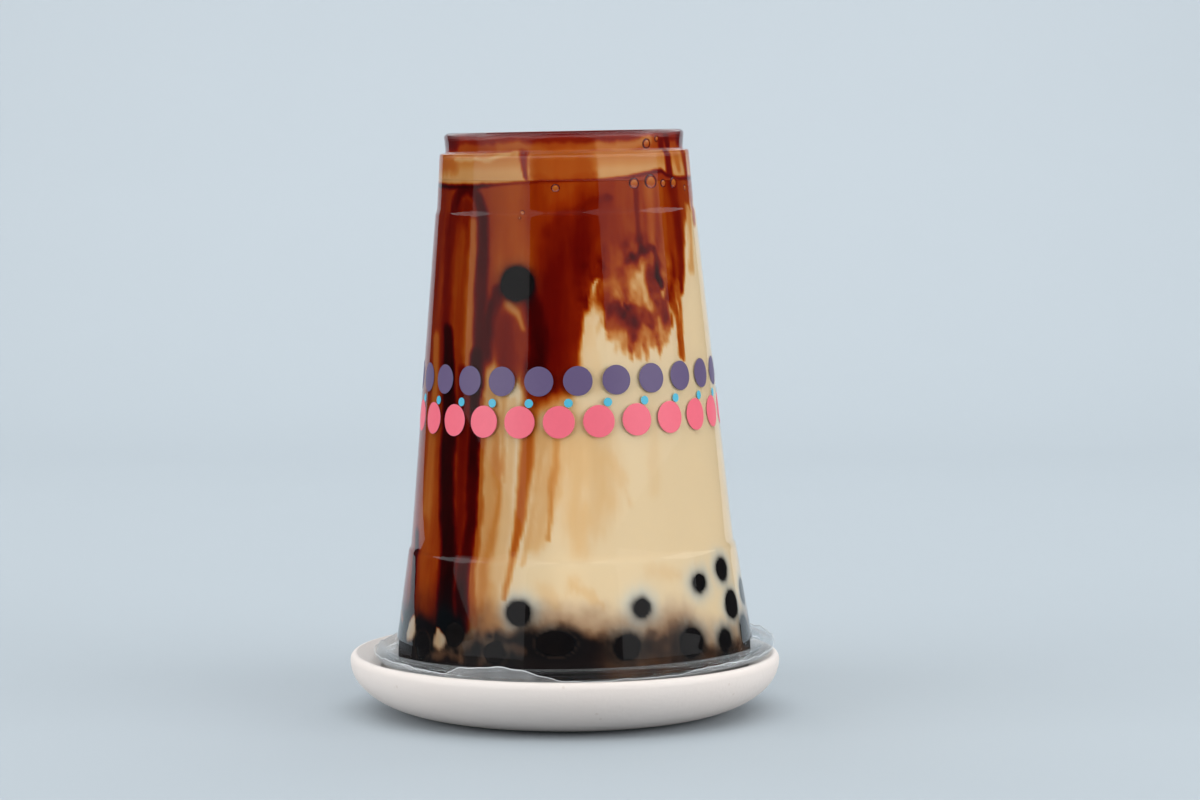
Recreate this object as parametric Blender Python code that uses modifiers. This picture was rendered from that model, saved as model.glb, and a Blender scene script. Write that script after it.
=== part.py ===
"""Bubble tea in a clear sealed cup that stands upside down on a round white dish.

Metres, +Z up. The origin is on the floor under the middle of the dish, and +X is the viewer's right.
The cup, its film and all that is in it hang on one empty, whose own origin is the middle of the cup's mouth:
the cup sits a little off the middle of the dish and leans, because its rim lies on the dish's sloping lip.
Azimuths run round the cup from its front, -Y, towards +X.
"""

import math
import random

import bmesh
import bpy
from mathutils import Matrix, Vector

SEGMENTS = 36
MERGE = 0.00001
GAP = 0.0003

# Dish
DISH_RADIUS = 0.0513
DISH_FOOT_RADIUS = 0.0310
DISH_WIDEST_HEIGHT = 0.0122
DISH_CREST_RADIUS = 0.0499
DISH_CREST_HEIGHT = 0.0139
DISH_SLOPE_RADIUS = 0.0440
DISH_SLOPE_HEIGHT = 0.0113
DISH_WELL_RADIUS = 0.0330
DISH_WELL_HEIGHT = 0.0052

# Cup, as heights above its mouth
CUP_HEIGHT = 0.1245
CUP_OFFSET = 0.0023
CUP_MOUTH_HEIGHT = 0.0135
CUP_LEAN = math.radians(1.15)
WALL = 0.0007
BEAD_RADIUS = 0.00145
BEAD_CENTRE_RADIUS = 0.0461
PLATE_THICKNESS = 0.0009
SKIRT_FOOT = (0.0428, 0.0022)
SKIRT_MIDDLE = (0.0418, 0.0082)
LOWER_STEP_OUT = (0.0391, 0.0257)
LOWER_STEP_IN = (0.0385, 0.0267)
UPPER_STEP_OUT = (0.0309, 0.1054)
UPPER_STEP_IN = (0.0305, 0.1063)
SHOULDER = (0.0296, 0.1189)
FOOT_RING_RADIUS = 0.0284
FOOT_RING_HEIGHT = 0.0047
FOOT_RING_ROUND = 0.0011
PUNT_RADIUS = 0.0252
PUNT_FLOOR_RADIUS = 0.0234
PUNT_DEPTH = 0.0024
CREASE = 0.0003
SHOULDER_ROUND = 0.0008

# Film across the mouth, with an uneven skirt turned up round the rim
FILM_THICKNESS = 0.00025
FILM_SKIRT_ROWS = 4
FILM_SKIRT_SHORT = 0.0012
FILM_SKIRT_LONG = 0.0062
FILM_NOTCH_AZIMUTH = math.radians(2.0)
FILM_NOTCH_WIDTH = math.radians(13.0)
FILM_SKIRT_LEAN = 0.08

# Drink
DRINK_LEVEL = 0.1265
DRINK_TOP = 0.1150

# Tapioca pearls
PEARL_RADIUS = 0.0044
PEARL_DETAIL = 2
BED_CORE_HEIGHT = 0.0052
BED_CORE_DOME = 0.0026
PEARL_SEED = 7

# Loose pearls that show at the front: azimuth in degrees, height, radius, how far the wall flattens it
FRONT_PEARLS = (
    (-20.1, 0.0895, 0.0047, 0.0011),
    (-17.6, 0.0143, 0.0044, 0.0011),
    (23.4, 0.0146, 0.0041, 0.0006),
    (48.1, 0.0188, 0.0041, 0.0005),
    (62.4, 0.0210, 0.0041, 0.0006),
    (66.0, 0.0126, 0.0041, 0.0008),
    (81.0, 0.0143, 0.0040, 0.0008),
)
# Pearls of the bed that show at the front, in the same terms
FRONT_BED_PEARLS = (
    (-87.0, 0.0054, 0.0043, 0.0009),
    (-73.0, 0.0088, 0.0044, 0.0009),
    (-57.5, 0.0051, 0.0043, 0.0009),
    (-41.5, 0.0086, 0.0044, 0.0009),
    (-25.5, 0.0052, 0.0043, 0.0007),
    (-5.5, 0.0079, 0.0048, 0.0013),
    (17.5, 0.0062, 0.0043, 0.0007),
    (41.0, 0.0058, 0.0044, 0.0009),
    (57.7, 0.0047, 0.0041, 0.0007),
    (74.7, 0.0056, 0.0041, 0.0009),
)
BACK_BED_PEARLS = 12
BACK_LOOSE_PEARLS = 7


def clear_scene():
    for obj in list(bpy.data.objects):
        bpy.data.objects.remove(obj)


def new_collection(name):
    collection = bpy.data.collections.new(name)
    bpy.context.scene.collection.children.link(collection)
    return collection


def new_material(name, colour, roughness, alpha=1.0):
    material = bpy.data.materials.new(name)
    material.use_nodes = True
    shader = material.node_tree.nodes["Principled BSDF"]
    shader.inputs["Base Color"].default_value = (*colour, 1.0)
    shader.inputs["Roughness"].default_value = roughness
    shader.inputs["Metallic"].default_value = 0.0
    shader.inputs["Alpha"].default_value = alpha
    return material


def add_object(name, mesh, collection, material, parent=None):
    obj = bpy.data.objects.new(name, mesh)
    collection.objects.link(obj)
    obj.parent = parent
    if material:
        mesh.materials.append(material)
    return obj


def hide_as_cutter(obj):
    obj.hide_render = True
    obj.display_type = "WIRE"


def arc(centre, radii, start, end, steps):
    """Points of an elliptic arc in the profile plane, angles in degrees from +X towards +Z."""
    angles = [math.radians(start + (end - start) * i / steps) for i in range(steps + 1)]
    return [
        (centre[0] + radii[0] * math.cos(a), centre[1] + radii[1] * math.sin(a))
        for a in angles
    ]


def turned(name, profile, collection, material, parent=None):
    """A solid of revolution: the profile lies at +X and runs down its outer side."""
    mesh = bpy.data.meshes.new(name)
    points = [(radius, 0.0, height) for radius, height in profile]
    edges = [(i, i + 1) for i in range(len(points) - 1)]
    mesh.from_pydata(points, edges, [])
    obj = add_object(name, mesh, collection, material, parent)
    screw = obj.modifiers.new("Turn", "SCREW")
    screw.axis = "Z"
    screw.steps = SEGMENTS
    screw.render_steps = SEGMENTS
    screw.use_merge_vertices = True
    screw.merge_threshold = MERGE
    screw.use_smooth_shade = True
    return obj


def evaluated_mesh(obj):
    graph = bpy.context.evaluated_depsgraph_get()
    return bpy.data.meshes.new_from_object(obj.evaluated_get(graph))


def boolean(obj, operation, other):
    """Joins, cuts or trims obj by another object, or by every object of a collection."""
    modifier = obj.modifiers.new(operation.title(), "BOOLEAN")
    modifier.operation = operation
    modifier.solver = "EXACT"
    if isinstance(other, bpy.types.Collection):
        modifier.operand_type = "COLLECTION"
        modifier.collection = other
    else:
        modifier.object = other
    return modifier


def dish_profile():
    """Round the dish's section: well, sloping inner lip, rounded crest, and the bowed underside."""
    outer = arc(
        (DISH_FOOT_RADIUS, DISH_WIDEST_HEIGHT),
        (DISH_RADIUS - DISH_FOOT_RADIUS, DISH_WIDEST_HEIGHT),
        0,
        -90,
        8,
    )
    lip = arc(
        (DISH_CREST_RADIUS, DISH_WIDEST_HEIGHT),
        (
            DISH_RADIUS - DISH_CREST_RADIUS,
            DISH_CREST_HEIGHT - DISH_WIDEST_HEIGHT,
        ),
        100,
        0,
        5,
    )
    well = arc(
        (DISH_WELL_RADIUS, DISH_SLOPE_HEIGHT),
        (DISH_SLOPE_RADIUS - DISH_WELL_RADIUS, DISH_SLOPE_HEIGHT - DISH_WELL_HEIGHT),
        -90,
        0,
        4,
    )
    return [(0.0, DISH_WELL_HEIGHT), *well, *lip, *outer[1:], (0.0, 0.0)]


def wall_line():
    """Corners of the cup's outer wall, from the shoulder down to the rim."""
    return [
        SHOULDER,
        UPPER_STEP_IN,
        UPPER_STEP_OUT,
        LOWER_STEP_IN,
        LOWER_STEP_OUT,
        SKIRT_MIDDLE,
        SKIRT_FOOT,
    ]


def wall_radius(height):
    """Radius of the cup's outer wall at a height above its mouth."""
    line = wall_line()
    for (upper_r, upper_z), (lower_r, lower_z) in zip(line, line[1:]):
        if height >= lower_z:
            share = (height - lower_z) / (upper_z - lower_z)
            return lower_r + share * (upper_r - lower_r)
    return SKIRT_FOOT[0]


def cup_profile():
    """Round the cup's section: recessed base, outer wall, rolled rim, and back up the inner wall."""
    top = CUP_HEIGHT
    punt_floor = top - PUNT_DEPTH
    punt = [
        (0.0, punt_floor),
        (PUNT_FLOOR_RADIUS, punt_floor),
        (PUNT_RADIUS - CREASE, top - CREASE),
        (PUNT_RADIUS, top),
    ]
    corner = arc(
        (FOOT_RING_RADIUS - FOOT_RING_ROUND, top - FOOT_RING_ROUND),
        (FOOT_RING_ROUND, FOOT_RING_ROUND),
        90,
        0,
        3,
    )
    ring_foot = (FOOT_RING_RADIUS - CREASE, top - FOOT_RING_HEIGHT + CREASE)
    shoulder = arc(
        (SHOULDER[0] - SHOULDER_ROUND, SHOULDER[1]),
        (SHOULDER_ROUND, top - FOOT_RING_HEIGHT - SHOULDER[1]),
        90,
        0,
        2,
    )
    plate = [
        (SKIRT_FOOT[0] + CREASE, PLATE_THICKNESS + CREASE),
        (SKIRT_FOOT[0] + 2 * CREASE, PLATE_THICKNESS),
    ]
    bead = arc(
        (BEAD_CENTRE_RADIUS, BEAD_RADIUS), (BEAD_RADIUS, BEAD_RADIUS), 202, -90, 8
    )
    inner_wall = [(radius - WALL, height) for radius, height in reversed(wall_line())]
    ring_inside = FOOT_RING_RADIUS - WALL
    base_inside = [
        (ring_inside, top - FOOT_RING_HEIGHT - WALL + CREASE),
        (ring_inside, top - FOOT_RING_ROUND - WALL),
        (FOOT_RING_RADIUS - FOOT_RING_ROUND - CREASE, top - WALL),
        (PUNT_RADIUS + CREASE, top - WALL),
        (PUNT_FLOOR_RADIUS + CREASE, punt_floor - WALL),
        (0.0, punt_floor - WALL),
    ]
    inside = [(inner_wall[0][0], 0.0), *inner_wall, *base_inside]
    outside = [*corner, ring_foot, *shoulder, *wall_line()[1:], *plate, *bead]
    return [*punt, *outside, *inside]


def interior_profile():
    """The inside of the cup, a gap in from its wall, from just above the drink down to the mouth."""
    inset = WALL + GAP
    upper = [(radius - inset, height) for radius, height in wall_line()[1:]]
    return [
        (0.0, DRINK_TOP),
        (wall_radius(DRINK_TOP) - inset, DRINK_TOP),
        *upper,
        (SKIRT_FOOT[0] - inset, 0.0),
        (0.0, 0.0),
    ]


def skirt_length(azimuth):
    """How far the film reaches round the bead: ragged, and cut short at a notch near the front."""
    waves = (
        0.58
        + 0.22 * math.sin(3.0 * azimuth + 2.6)
        + 0.12 * math.sin(7.0 * azimuth + 0.8)
        + 0.08 * math.sin(17.0 * azimuth)
    )
    away = abs(azimuth - FILM_NOTCH_AZIMUTH) / FILM_NOTCH_WIDTH
    notch = 1.0 - max(0.0, 1.0 - away)
    return FILM_SKIRT_SHORT + (FILM_SKIRT_LONG - FILM_SKIRT_SHORT) * waves * notch


def skirt_point(length):
    """(radius, height) on the film's skirt, at a length along it from under the bead and up its side."""
    radius = BEAD_RADIUS + GAP + FILM_THICKNESS / 2
    quarter = radius * math.pi / 2
    angle = min(length, quarter) / radius
    rise = max(0.0, length - quarter)
    return (
        BEAD_CENTRE_RADIUS + radius * math.sin(angle) + rise * FILM_SKIRT_LEAN,
        BEAD_RADIUS - radius * math.cos(angle) + rise,
    )


def film_mesh():
    """A flat disc spun in rings, whose outer rows are then turned up round the bead."""
    flat = -GAP - FILM_THICKNESS / 2
    shape = bmesh.new()
    inner = [0.0, 0.022, 0.040, BEAD_CENTRE_RADIUS]
    outer = [
        BEAD_CENTRE_RADIUS + (row + 1) * FILM_SKIRT_LONG / FILM_SKIRT_ROWS
        for row in range(FILM_SKIRT_ROWS)
    ]
    line = [shape.verts.new((radius, 0.0, flat)) for radius in inner + outer]
    edges = [shape.edges.new(pair) for pair in zip(line, line[1:])]
    bmesh.ops.spin(
        shape,
        geom=line + edges,
        axis=(0, 0, 1),
        cent=(0, 0, 0),
        steps=SEGMENTS,
        angle=2 * math.pi,
        use_merge=True,
    )
    bmesh.ops.remove_doubles(shape, verts=shape.verts, dist=MERGE)
    for vert in shape.verts:
        beyond = Vector(vert.co.xy).length - BEAD_CENTRE_RADIUS
        if beyond < MERGE:
            continue
        azimuth = math.atan2(vert.co.x, -vert.co.y)
        share = beyond / FILM_SKIRT_LONG
        radius, height = skirt_point(share * skirt_length(azimuth))
        vert.co = (radius * math.sin(azimuth), -radius * math.cos(azimuth), height)
    bmesh.ops.recalc_face_normals(shape, faces=shape.faces)
    mesh = bpy.data.meshes.new("seal_film")
    shape.to_mesh(mesh)
    shape.free()
    return mesh


def make_film(collection, material, parent):
    obj = add_object("seal_film", film_mesh(), collection, material, parent)
    solidify = obj.modifiers.new("Thickness", "SOLIDIFY")
    solidify.thickness = FILM_THICKNESS
    solidify.offset = 0.0
    return obj


def ball_mesh(name, radius):
    shape = bmesh.new()
    bmesh.ops.create_icosphere(shape, subdivisions=PEARL_DETAIL, radius=radius)
    mesh = bpy.data.meshes.new(name)
    shape.to_mesh(mesh)
    shape.free()
    mesh.shade_smooth()
    return mesh


def at_wall(azimuth_degrees, height, radius, pressed):
    """Centre of a pearl that is pressed against the inside of the cup, in the cup's own frame."""
    azimuth = math.radians(azimuth_degrees)
    reach = wall_radius(height) - WALL - GAP - radius + pressed
    return Vector((reach * math.sin(azimuth), -reach * math.cos(azimuth), height))


def back_bed_pearls():
    """Pearls of the bed round the back, spread evenly with a seeded unevenness."""
    draw = random.Random(PEARL_SEED)
    first = FRONT_BED_PEARLS[-1][0]
    last = 360.0 + FRONT_BED_PEARLS[0][0]
    step = (last - first) / (BACK_BED_PEARLS + 1)
    pearls = []
    for index in range(BACK_BED_PEARLS):
        azimuth = first + step * (index + 1) + draw.uniform(-1.5, 1.5)
        height = 0.0052 + draw.uniform(0.0, 0.0036)
        radius = PEARL_RADIUS * draw.uniform(0.93, 1.04)
        pearls.append((azimuth, height, radius, draw.uniform(0.0006, 0.0011)))
    return pearls


def back_loose_pearls():
    """Loose pearls round the back, well above the bed, one of them high up."""
    draw = random.Random(PEARL_SEED + 1)
    pearls = []
    for index in range(BACK_LOOSE_PEARLS):
        azimuth = 108.0 + 26.0 * index + draw.uniform(-4.0, 4.0)
        height = 0.0205 + draw.uniform(0.0, 0.0080)
        if index == BACK_LOOSE_PEARLS // 2:
            height = 0.0660
        radius = PEARL_RADIUS * draw.uniform(0.90, 1.02)
        pearls.append((azimuth, height, radius, draw.uniform(0.0005, 0.0010)))
    return pearls


def bed_core_profile(grow):
    """A low dome that fills the mouth, made larger all round by grow for its cutter."""
    radius = SKIRT_FOOT[0] + 0.001
    return [
        (0.0, BED_CORE_HEIGHT + BED_CORE_DOME + grow),
        (0.5 * radius, BED_CORE_HEIGHT + 0.75 * BED_CORE_DOME + grow),
        (0.8 * radius, BED_CORE_HEIGHT + 0.3 * BED_CORE_DOME + grow),
        (radius, BED_CORE_HEIGHT + grow),
        (radius, -0.001 - grow),
        (0.0, -0.001 - grow),
    ]


def make_bed(name, grow, collection, material, parent):
    """The bed of pearls across the mouth: a low core with the pearls at the wall fused on."""
    core = turned(name, bed_core_profile(grow), collection, material, parent)
    balls = new_collection(name + "_balls")
    for azimuth, height, radius, pressed in (*FRONT_BED_PEARLS, *back_bed_pearls()):
        ball = add_object("ball", ball_mesh("ball", radius + grow), balls, None, parent)
        ball.location = at_wall(azimuth, height, radius, pressed)
    bpy.context.view_layer.update()
    boolean(core, "UNION", balls)
    joined = evaluated_mesh(core)
    core.modifiers.clear()
    core.data = joined
    for ball in list(balls.objects):
        bpy.data.objects.remove(ball)
    bpy.data.collections.remove(balls)
    return core


def make_pearls(collection, cutters, interior, material, parent):
    """Loose pearls, flattened where they meet the wall, each with a larger ball that cuts its room."""
    for index, pearl in enumerate((*FRONT_PEARLS, *back_loose_pearls())):
        azimuth, height, radius, pressed = pearl
        name = f"pearl_{index + 1:02d}"
        ball = add_object(name, ball_mesh(name, radius), collection, material, parent)
        room = add_object(
            name + "_room", ball_mesh(name + "_room", radius + GAP), cutters, None, parent
        )
        for obj in (ball, room):
            obj.location = at_wall(azimuth, height, radius, pressed)
        boolean(ball, "INTERSECT", interior)
        hide_as_cutter(room)


def make_drink(collection, cutters, material, parent):
    """The drink fills the cup up to a level surface, with room cut for the pearls."""
    drink = turned("drink", interior_profile(), collection, material, parent)
    shape = bmesh.new()
    side = 0.12
    above = Matrix.Translation((0.0, 0.0, DRINK_LEVEL + side / 2))
    bmesh.ops.create_cube(shape, size=side, matrix=above)
    mesh = bpy.data.meshes.new("air")
    shape.to_mesh(mesh)
    shape.free()
    air = add_object("air", mesh, cutters, None)
    hide_as_cutter(air)
    boolean(drink, "DIFFERENCE", cutters)


def make_part():
    clear_scene()
    parts = new_collection("bubble_tea")
    cutters = new_collection("room_in_drink")
    guides = new_collection("guides")
    glazed = new_material("white_ceramic", (0.86, 0.83, 0.80), 0.45)
    clear = new_material("clear_plastic", (0.90, 0.92, 0.93), 0.08, 0.3)
    film = new_material("clear_film", (0.88, 0.90, 0.92), 0.12, 0.3)
    tea = new_material("milk_and_syrup", (0.78, 0.55, 0.30), 0.30)
    tapioca = new_material("tapioca", (0.020, 0.012, 0.010), 0.25)

    turned("dish", dish_profile(), parts, glazed)
    mouth = bpy.data.objects.new("cup_mouth", None)
    parts.objects.link(mouth)
    mouth.location = (CUP_OFFSET, 0.0, CUP_MOUTH_HEIGHT)
    mouth.rotation_euler = (0.0, -CUP_LEAN, 0.0)
    turned("cup", cup_profile(), parts, clear, mouth)
    make_film(parts, film, mouth)

    interior = turned("interior", interior_profile(), guides, None, mouth)
    hide_as_cutter(interior)
    bed = make_bed("pearl_bed", 0.0, parts, tapioca, mouth)
    boolean(bed, "INTERSECT", interior)
    hide_as_cutter(make_bed("bed_room", GAP, cutters, None, mouth))
    make_pearls(parts, cutters, interior, tapioca, mouth)
    make_drink(parts, cutters, tea, mouth)


make_part()
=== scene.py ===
"""Looks of a brown sugar milk tea with tapioca pearls, in a clear sealed cup upside down on a white dish.

Lengths are metres, apart from the marbling's, which are millimetres along the wall. Azimuths are degrees
round the cup from its front, -Y, towards +X. Heights are above the cup's mouth, along its own leaning axis.
"""

import logging
import math
import random
from dataclasses import dataclass, field
from enum import Enum

import bmesh
import bpy
import numpy as np
from mathutils import Matrix, Vector, noise


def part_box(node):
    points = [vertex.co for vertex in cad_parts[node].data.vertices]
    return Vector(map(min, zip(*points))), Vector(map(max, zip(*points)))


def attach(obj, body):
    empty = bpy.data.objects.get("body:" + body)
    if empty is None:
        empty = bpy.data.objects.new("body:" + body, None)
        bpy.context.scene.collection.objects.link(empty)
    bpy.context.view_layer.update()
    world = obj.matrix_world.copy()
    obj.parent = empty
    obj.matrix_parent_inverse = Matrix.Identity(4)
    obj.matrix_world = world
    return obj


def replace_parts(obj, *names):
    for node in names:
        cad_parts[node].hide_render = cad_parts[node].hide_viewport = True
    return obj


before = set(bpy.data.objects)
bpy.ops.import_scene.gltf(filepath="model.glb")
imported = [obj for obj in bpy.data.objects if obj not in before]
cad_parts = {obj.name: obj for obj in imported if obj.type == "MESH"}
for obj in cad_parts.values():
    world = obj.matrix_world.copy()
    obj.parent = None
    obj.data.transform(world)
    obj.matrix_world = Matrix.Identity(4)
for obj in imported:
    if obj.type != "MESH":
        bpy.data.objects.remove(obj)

Point = tuple[float, float]
Colour = tuple[float, float, float]

MM = 0.001
BODY = "root"
MERGE = 1e-6
ELSEWHERE = Vector((37.3, -18.9, 52.1))
log = logging.getLogger("bubble_tea")


class Paint(Enum):
    """The per-point attributes that the marbling writes and the drink's material reads."""

    SYRUP = "syrup_depth"
    SHADE = "pearl_shade"
    HALO = "milky_halo"
    EDGE = "film_edge"


class Slot(Enum):
    """The record's material slots."""

    DISH = "dish_ceramic"
    CUP = "cup_plastic"
    FILM = "film"
    DRINK = "drink"
    PEARLS = "tapioca"


@dataclass(frozen=True)
class Stance:
    """How the cup stands on the dish: its mouth's middle, and how far its axis leans towards -X."""

    offset: float = 0.0023
    mouth: float = 0.0135
    lean: float = math.radians(1.15)

    def matrix(self) -> Matrix:
        """The cup's own frame in the world."""
        return Matrix.Translation((self.offset, 0.0, self.mouth)) @ Matrix.Rotation(-self.lean, 4, "Y")

    def level(self, across: float, world_height: float) -> float:
        """Height in the cup's frame at which a level surface lies.

        Args:
            across: How far the place is towards the cup's own +X.
            world_height: The surface's height above the floor.

        Returns:
            The height above the mouth.
        """
        return (world_height - self.mouth - across * math.sin(self.lean)) / math.cos(self.lean)


STANCE = Stance()


def smoothstep(low: float, high: float, value: np.ndarray) -> np.ndarray:
    """A smooth rise from 0 at low to 1 at high."""
    share = np.clip((value - low) / (high - low), 0.0, 1.0)
    return share * share * (3.0 - 2.0 * share)


def wander(points: np.ndarray, scale: Vector) -> np.ndarray:
    """Two noises about 0 at each point, at a scale for each axis."""
    places = [Vector(point) * scale for point in points]
    return np.array([(noise.noise(place), noise.noise(place + ELSEWHERE)) for place in places])


def arc(centre: Point, radii: Point, start: float, end: float, steps: int) -> list[Point]:
    """Points of an elliptic arc in the profile plane.

    Args:
        centre: The arc's centre, as radius and height.
        radii: Its half axes across and up.
        start: First angle, in degrees from outward towards up.
        end: Last angle.
        steps: How many steps it takes.

    Returns:
        The points, ends included.
    """
    angles = [math.radians(start + (end - start) * step / steps) for step in range(steps + 1)]
    return [(centre[0] + radii[0] * math.cos(a), centre[1] + radii[1] * math.sin(a)) for a in angles]


def rounded(points: list[Point], radius: float, steps: int = 4) -> list[Point]:
    """A line whose inner corners are rounded.

    Args:
        points: The line's corners.
        radius: How far from a corner its rounding starts, at most half of the shorter side.
        steps: Steps of each rounding.

    Returns:
        The line with its roundings.
    """
    line = [points[0]]
    for before, corner, after in zip(points, points[1:], points[2:]):
        reach = min(radius, math.dist(before, corner) / 2, math.dist(corner, after) / 2)
        first = Vector(corner) + (Vector(before) - Vector(corner)).normalized() * reach
        last = Vector(corner) + (Vector(after) - Vector(corner)).normalized() * reach
        for step in range(steps + 1):
            share = step / steps
            on_way_in = first.lerp(Vector(corner), share)
            on_way_out = Vector(corner).lerp(last, share)
            line.append(tuple(on_way_in.lerp(on_way_out, share)))
    line.append(points[-1])
    return line


def spaced(points: list[Point], spacing: float) -> list[Point]:
    """The same line with points added, so that none are further apart than spacing."""
    line = [points[0]]
    for before, after in zip(points, points[1:]):
        count = max(1, math.ceil(math.dist(before, after) / spacing))
        line += [tuple(Vector(before).lerp(Vector(after), i / count)) for i in range(1, count + 1)]
    return line


def turned(profile: list[Point], steps: int) -> bmesh.types.BMesh:
    """A line turned fully about +Z: one wedge is spun, then doubled until it is full, which is far quicker.

    Args:
        profile: The line as radius and height.
        steps: Steps of the full turn, a multiple of 16.

    Returns:
        A bmesh of the turned surface, its seams merged.
    """
    doublings = 4
    wedges = 2**doublings
    shape = bmesh.new()
    line = [shape.verts.new((radius, 0.0, height)) for radius, height in profile]
    edges = [shape.edges.new(pair) for pair in zip(line, line[1:])]
    bmesh.ops.spin(
        shape,
        geom=line + edges,
        axis=(0, 0, 1),
        cent=(0, 0, 0),
        steps=steps // wedges,
        angle=2 * math.pi / wedges,
    )
    for doubling in range(doublings):
        copied = bmesh.ops.duplicate(shape, geom=[*shape.verts, *shape.edges, *shape.faces])["geom"]
        verts = [item for item in copied if isinstance(item, bmesh.types.BMVert)]
        turn = Matrix.Rotation(2 * math.pi * 2**doubling / wedges, 3, "Z")
        bmesh.ops.rotate(shape, verts=verts, cent=(0, 0, 0), matrix=turn)
    bmesh.ops.remove_doubles(shape, verts=shape.verts, dist=MERGE)
    return shape


def spun_mesh(profile: list[Point], steps: int) -> bmesh.types.BMesh:
    """A solid of revolution about +Z.

    Args:
        profile: The section as radius and height, from the axis round to the axis.
        steps: Steps of the full turn, a multiple of 16.

    Returns:
        A closed bmesh with its faces pointing out.
    """
    shape = turned(profile, steps)
    bmesh.ops.dissolve_degenerate(shape, edges=shape.edges, dist=MERGE)
    bmesh.ops.recalc_face_normals(shape, faces=shape.faces)
    return shape


def finished(
    shape: bmesh.types.BMesh, name: str, material: bpy.types.Material
) -> bpy.types.Object:
    """Turns a bmesh in world coordinates into a piece of the object.

    Args:
        shape: The mesh, which is freed.
        name: The piece's name.
        material: Its finish.

    Returns:
        The new object, riding on the one body.
    """
    mesh = bpy.data.meshes.new(name)
    shape.to_mesh(mesh)
    shape.free()
    mesh.shade_smooth()
    mesh.materials.append(material)
    piece = bpy.data.objects.new(name, mesh)
    bpy.context.scene.collection.objects.link(piece)
    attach(piece, BODY)
    log.info("%s: %d faces", name, len(mesh.polygons))
    return piece


class Tree:
    """A material's node tree, with short ways to add and link nodes."""

    def __init__(self, name: str) -> None:
        """Makes an empty material called name."""
        self.material = bpy.data.materials.new(name)
        self.material.use_nodes = True
        self.nodes = self.material.node_tree.nodes
        self.links = self.material.node_tree.links
        self.nodes.clear()
        self.output = self.nodes.new("ShaderNodeOutputMaterial")

    def add(self, kind: str, **values: object) -> bpy.types.Node:
        """Adds a node.

        Args:
            kind: The node's type, without its ShaderNode prefix.
            values: Its properties, or its inputs' values, by name with _ for a space.

        Returns:
            The node.
        """
        node = self.nodes.new("ShaderNode" + kind)
        for name, value in values.items():
            if hasattr(node, name):
                setattr(node, name, value)
            else:
                node.inputs[name.replace("_", " ")].default_value = value
        return node

    def link(self, source: bpy.types.NodeSocket, target: bpy.types.NodeSocket) -> None:
        """Links two sockets."""
        self.links.new(source, target)

    def maths(
        self, operation: str, first: object, second: object, third: object = None
    ) -> bpy.types.NodeSocket:
        """A Math node.

        Args:
            operation: Its operation.
            first: A socket or a number.
            second: The same.
            third: The same, for an operation that takes three.

        Returns:
            Its result.
        """
        node = self.add("Math", operation=operation)
        for place, value in enumerate((first, second, third)):
            if isinstance(value, bpy.types.NodeSocket):
                self.link(value, node.inputs[place])
            elif value is not None:
                node.inputs[place].default_value = value
        return node.outputs[0]

    def noise_at(
        self, scale: float, stretch: tuple[float, float, float] = (1, 1, 1), detail: float = 3.0
    ) -> bpy.types.NodeSocket:
        """A noise on Object coordinates.

        Args:
            scale: Its scale, per metre.
            stretch: What each axis is scaled by first.
            detail: Its detail.

        Returns:
            The noise's value, about 0.5 on average.
        """
        place = self.add("TexCoord")
        mapping = self.add("Mapping", Scale=stretch)
        texture = self.add("TexNoise", Scale=scale, Detail=detail)
        self.link(place.outputs["Object"], mapping.inputs["Vector"])
        self.link(mapping.outputs[0], texture.inputs["Vector"])
        return texture.outputs[0]

    def mix(self, factor: object, first: object, second: object, blend: str = "MIX") -> bpy.types.NodeSocket:
        """A colour mix.

        Args:
            factor: A socket or a number.
            first: A socket or a colour.
            second: The same.
            blend: The blend type.

        Returns:
            The mixed colour.
        """
        node = self.add("Mix", data_type="RGBA", blend_type=blend)
        for place, value in ((0, factor), (6, first), (7, second)):
            if isinstance(value, bpy.types.NodeSocket):
                self.link(value, node.inputs[place])
            elif isinstance(value, tuple):
                node.inputs[place].default_value = (*value, 1.0)
            else:
                node.inputs[place].default_value = value
        return node.outputs[2]

    def ramp(self, factor: bpy.types.NodeSocket, stops: list[tuple[float, Colour]]) -> bpy.types.NodeSocket:
        """A colour ramp.

        Args:
            factor: What it reads.
            stops: Position and colour of each stop, in order.

        Returns:
            Its colour.
        """
        node = self.add("ValToRGB")
        elements = node.color_ramp.elements
        while len(elements) < len(stops):
            elements.new(1.0)
        for element, (position, colour) in zip(elements, stops):
            element.position = position
            element.color = (*colour, 1.0)
        self.link(factor, node.inputs[0])
        return node.outputs[0]

    def bump(self, height: bpy.types.NodeSocket, distance: float) -> bpy.types.NodeSocket:
        """A bump as high as distance, in metres, where height is 1."""
        node = self.add("Bump", Strength=1.0, Distance=distance)
        self.link(height, node.inputs["Height"])
        return node.outputs[0]


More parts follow.
